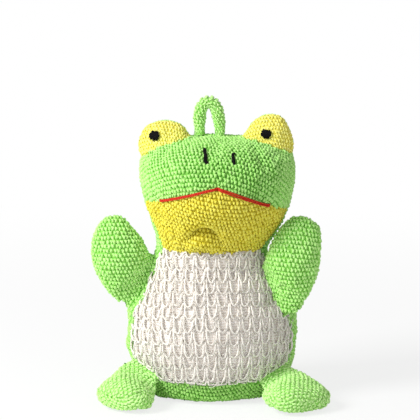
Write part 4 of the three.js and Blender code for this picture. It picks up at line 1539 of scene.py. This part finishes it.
def stray_ends(board, given):
    """Short ends of fibre that lie over the net in all directions."""
    names = ("Geometry", "Width", "Length", "Seed")
    cloth, width, length, seed = [given.output(name) for name in names]
    points = board.add("GeometryNodeMeshLine", {}, {"Count": given.output("Stray ends")})
    sideways, lengthways = shake(board, 0.5, seed) * width, shake(board, 0.5, seed + 1) * length
    spot = vector_sum(board, triple(board, sideways, lengthways, 0), given.output("Middle"))
    points = store(board, points, "cut", spot)
    points = store(board, points, "height", chance(board, *HAIR_LIFT, seed + 2), "FLOAT")
    points = lay_on_cloth(board, cloth, points)
    arc = board.add("GeometryNodeCurveArc", {"mode": "RADIUS"}, HAIR_ARC)
    hair = yarn_tube(board, arc, given.output("Yarn radius"), HAIR_SIDES, HAIR_THICKNESS)
    lean, turn = shake(board, HAIR_LEAN, seed + 3), chance(board, 0, 2 * math.pi, seed + 4)
    turned = standing(board, cloth, triple(board, lean, 0, turn))
    size = chance(board, *HAIR_SIZE, seed + 5)
    scale = triple(board, size, size, size)
    inputs = {"Points": points, "Instance": hair, "Rotation": turned, "Scale": scale}
    return realized(board, board.add("GeometryNodeInstanceOnPoints", {}, inputs))


print("knit and stray ends are ready")

# %% The net's tree
THICKNESS_NOISE = 420.0
BAST_SIDES = 7
FIBRE_SIDES = 4
FIBRE_THICKNESS = 0.32
FIBRE_SEEDS = (4.0, 5.0, 6.0)
NET_SIZES = {
    "Stitch": 6.6,
    "Row": 7.5,
    "Loop height": 9.6,
    "Swing": 0.3,
    "Opening": 0.75,
    "Depth": 0.5,
    "Lift": 1.0,
    "Yarn radius": 0.58,
    "Wobble": 3.8,
    "Drift": 4.0,
    "Fray": 5.6,
}


def net_tree():
    """The rows of the knit, their frayed fibres and the stray ends."""
    others = {"Stray ends": ("Int", 900), "Seed": ("Int", 1), "Yarn": ("Material", None)}
    board, given = new_tree("bast net", {**PATTERN_INPUTS, **size_inputs(NET_SIZES), **others})
    rows, fray = net_rows(board, given), given.output("Fray")
    uneven = shaken(board, THICKNESS_NOISE, 3.0)[0] * 1.1 + 1.0
    strands = [knit(board, given, rows, 0.0, 0.0, uneven, BAST_SIDES)]
    for seed in FIBRE_SEEDS:
        strands.append(knit(board, given, rows, fray, seed, FIBRE_THICKNESS, FIBRE_SIDES))
    net = joined(board, [*strands, stray_ends(board, given)])
    board.add("NodeGroupOutput", {}, {"Geometry": with_material(board, net, given.output("Yarn"))})
    return board


NET_TREE = net_tree()
print("net tree:", len(NET_TREE.tree.nodes), "nodes")

# %% Belly lining and net
lining, pattern = cloths["belly_net"]
lining.name = "belly_lining_cloth"
net = new_object("belly_net_yarn", lining.data.copy())
lining.data.materials.append(LINING)
smooth_faces(lining.data)
grow(net, NET_TREE, {**pattern_values(pattern), "Yarn": BAST})
stand_for(lining, "belly_lining")
stand_for(net, "belly_net")
print("net:", len(net.data.polygons), "faces")

# %% [markdown]
# ## Embroidered face
# Every stitch is a strand of thread. The stitches could be one raised patch, but strands catch the light one
# by one. The routes that were laid on the skin become curves, and one small tree gives them their thickness
# and the attributes that the twist of the thread follows.

# %% Embroidered face
THREAD_RADIUS = {"mouth": 0.48 * MM, "nostril": 0.6 * MM, "pupil": 0.42 * MM}
THREAD_POINTS = 24
THREAD_SIDES = 8


def thread_tree():
    """Round strands along the edges of a mesh."""
    board, given = new_tree("thread", {"Radius": ("Float", 0.5 * MM), "Thread": ("Material", None)})
    curve = board.add("GeometryNodeMeshToCurve", {}, {"Mesh": given.output("Geometry")})
    curve = board.add("GeometryNodeCurveSplineType", {"spline_type": "CATMULL_ROM"}, {"Curve": curve})
    curve = board.add("GeometryNodeResampleCurve", {}, {"Curve": curve, "Count": THREAD_POINTS})
    tube = yarn_tube(board, curve, given.output("Radius"), THREAD_SIDES)
    board.add("NodeGroupOutput", {}, {"Geometry": with_material(board, tube, given.output("Thread"))})
    return board


THREAD_TREE = thread_tree()
for node, strands in stitches.items():
    mesh = bpy.data.meshes.new(f"{node}_thread")
    points = np.concatenate(strands)
    starts = np.cumsum([0] + [len(strand) for strand in strands])
    links = [(k, k + 1) for first, after in zip(starts, starts[1:]) for k in range(first, after - 1)]
    mesh.from_pydata(points, links, [])
    thread = new_object(mesh.name, mesh)
    kind = next(kind for kind in THREAD_RADIUS if kind in node)
    grow(thread, THREAD_TREE, {"Radius": THREAD_RADIUS[kind], "Thread": RED if kind == "mouth" else BLACK})
    stand_for(thread, node)
    print(thread.name, len(thread.data.polygons), "faces")

# %% [markdown]
# ## Fillings
# Inside are a block of foam and loose fibre. They don't show, but the pieces are there when the toy is taken
# apart. They could be left as plain solids, but then they would poke through the skin where it has hollows.
# So each is its CAD solid, rounded and made a little smaller, and it follows the same lumps and the tuck.

# %% Fillings
FILLING_VOXEL = 3 * MM
FILLING_DEPTH = 1.4 * MM
FILLING_ROUNDS = 6
for node in FILLINGS:
    filling = cad_copy(f"{node}_fill", [node])
    melt(filling, FILLING_VOXEL, FILLING_ROUNDS)
    set_in(filling.data, FILLING_DEPTH)
    push_lumps(filling.data)
    if node == "head_stuffing":
        pinch(filling.data)
    filling.data.materials.append(FOAM if slot_of[node] == "foam" else FIBRE)
    smooth_faces(filling.data)
    stand_for(filling, node)
print("fillings:", len(FILLINGS))

# %% [markdown]
# ## Floor and light
# The toy sits in a white studio. A large soft lamp stands high on the left, a weak one fills the right
# side, and the room gives the rest. The white could come from stronger lamps, but that would wash out the
# cloth, so the background is white only for the camera.

# %% Lamps and paper
KEY = {"spot": Vector((-0.95, -0.55, 0.85)), "power": 18, "size": 0.5}
FILL = {"spot": Vector((0.5, -1.0, 0.5)), "power": 1.0, "size": 0.8}
TOY_MIDDLE = Vector((0, 0, 0.09))
PAPER = (0.95, 0.95, 0.95, 1)
WHITE = (1, 1, 1, 1)
SHADOW_FADE = {"From Min": 0.1, "From Max": 0.7, "To Min": 0.78, "To Max": 1.0}


def lamp(name, spot, power, size):
    light = bpy.data.lights.new(name, "AREA")
    light.energy = power
    light.size = size
    obj = bpy.data.objects.new(name, light)
    scene.collection.objects.link(obj)
    obj.location = spot
    obj.rotation_euler = (TOY_MIDDLE - spot).to_track_quat("-Z", "Y").to_euler()


def floor_material():
    """White paper that keeps the toy's shadow near it and is plain white to the camera further off."""
    material, board = new_material("floor_paper")
    paper = board.add("ShaderNodeBsdfPrincipled", {}, {"Base Color": PAPER, "Roughness": 1.0})
    white = board.add("ShaderNodeEmission", {}, {"Color": WHITE, "Strength": 1.0})
    away = board.add("ShaderNodeVectorMath", {"operation": "LENGTH"}, {0: object_place(board)})
    seen = board.add("ShaderNodeLightPath").output("Is Camera Ray") * eased(board, away, SHADOW_FADE)
    mixed = board.add("ShaderNodeMixShader", {}, {0: seen, 1: paper, 2: white})
    board.add("ShaderNodeOutputMaterial", {}, {"Surface": mixed})
    return material


lamp("key", **KEY)
lamp("fill", **FILL)
print("lamps:", [light.name for light in bpy.data.lights])

# %% Floor and room
FLOOR_SIZE = 3
ROOM_LIGHT = 0.4

half = FLOOR_SIZE / 2
floor_corners = [(-half, -half, 0), (half, -half, 0), (half, half, 0), (-half, half, 0)]
floor_mesh = bpy.data.meshes.new("floor")
floor_mesh.from_pydata(floor_corners, [], [(0, 1, 2, 3)])
floor_mesh.materials.append(floor_material())
new_object("floor", floor_mesh)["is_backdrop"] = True
scene.world = bpy.data.worlds.new("studio")
scene.world.use_nodes = True
scene.world.node_tree.nodes.clear()
room = Board(scene.world.node_tree)
seen = room.add("ShaderNodeLightPath").output("Is Camera Ray")
strength = seen * (1 - ROOM_LIGHT) + ROOM_LIGHT
sky = room.add("ShaderNodeBackground", {}, {"Color": WHITE, "Strength": strength})
room.add("ShaderNodeOutputWorld", {}, {"Surface": sky})
scene.view_settings.view_transform = "Standard"
print("floor:", FLOOR_SIZE, "m wide, room light:", ROOM_LIGHT)

# %% [markdown]
# ## Sizes
# The finished toy should fill nearly the same box as its CAD model. Both boxes are measured and printed
# in millimetres.

# %% Sizes
visual_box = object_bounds()
boxes = {"cad": cad_box, "visual": visual_box}
plain = {name: [[float(value) for value in corner] for corner in box] for name, box in boxes.items()}
in_mm = {name: [[round(v / MM, 1) for v in corner] for corner in box] for name, box in plain.items()}
print("boxes in mm:", in_mm)
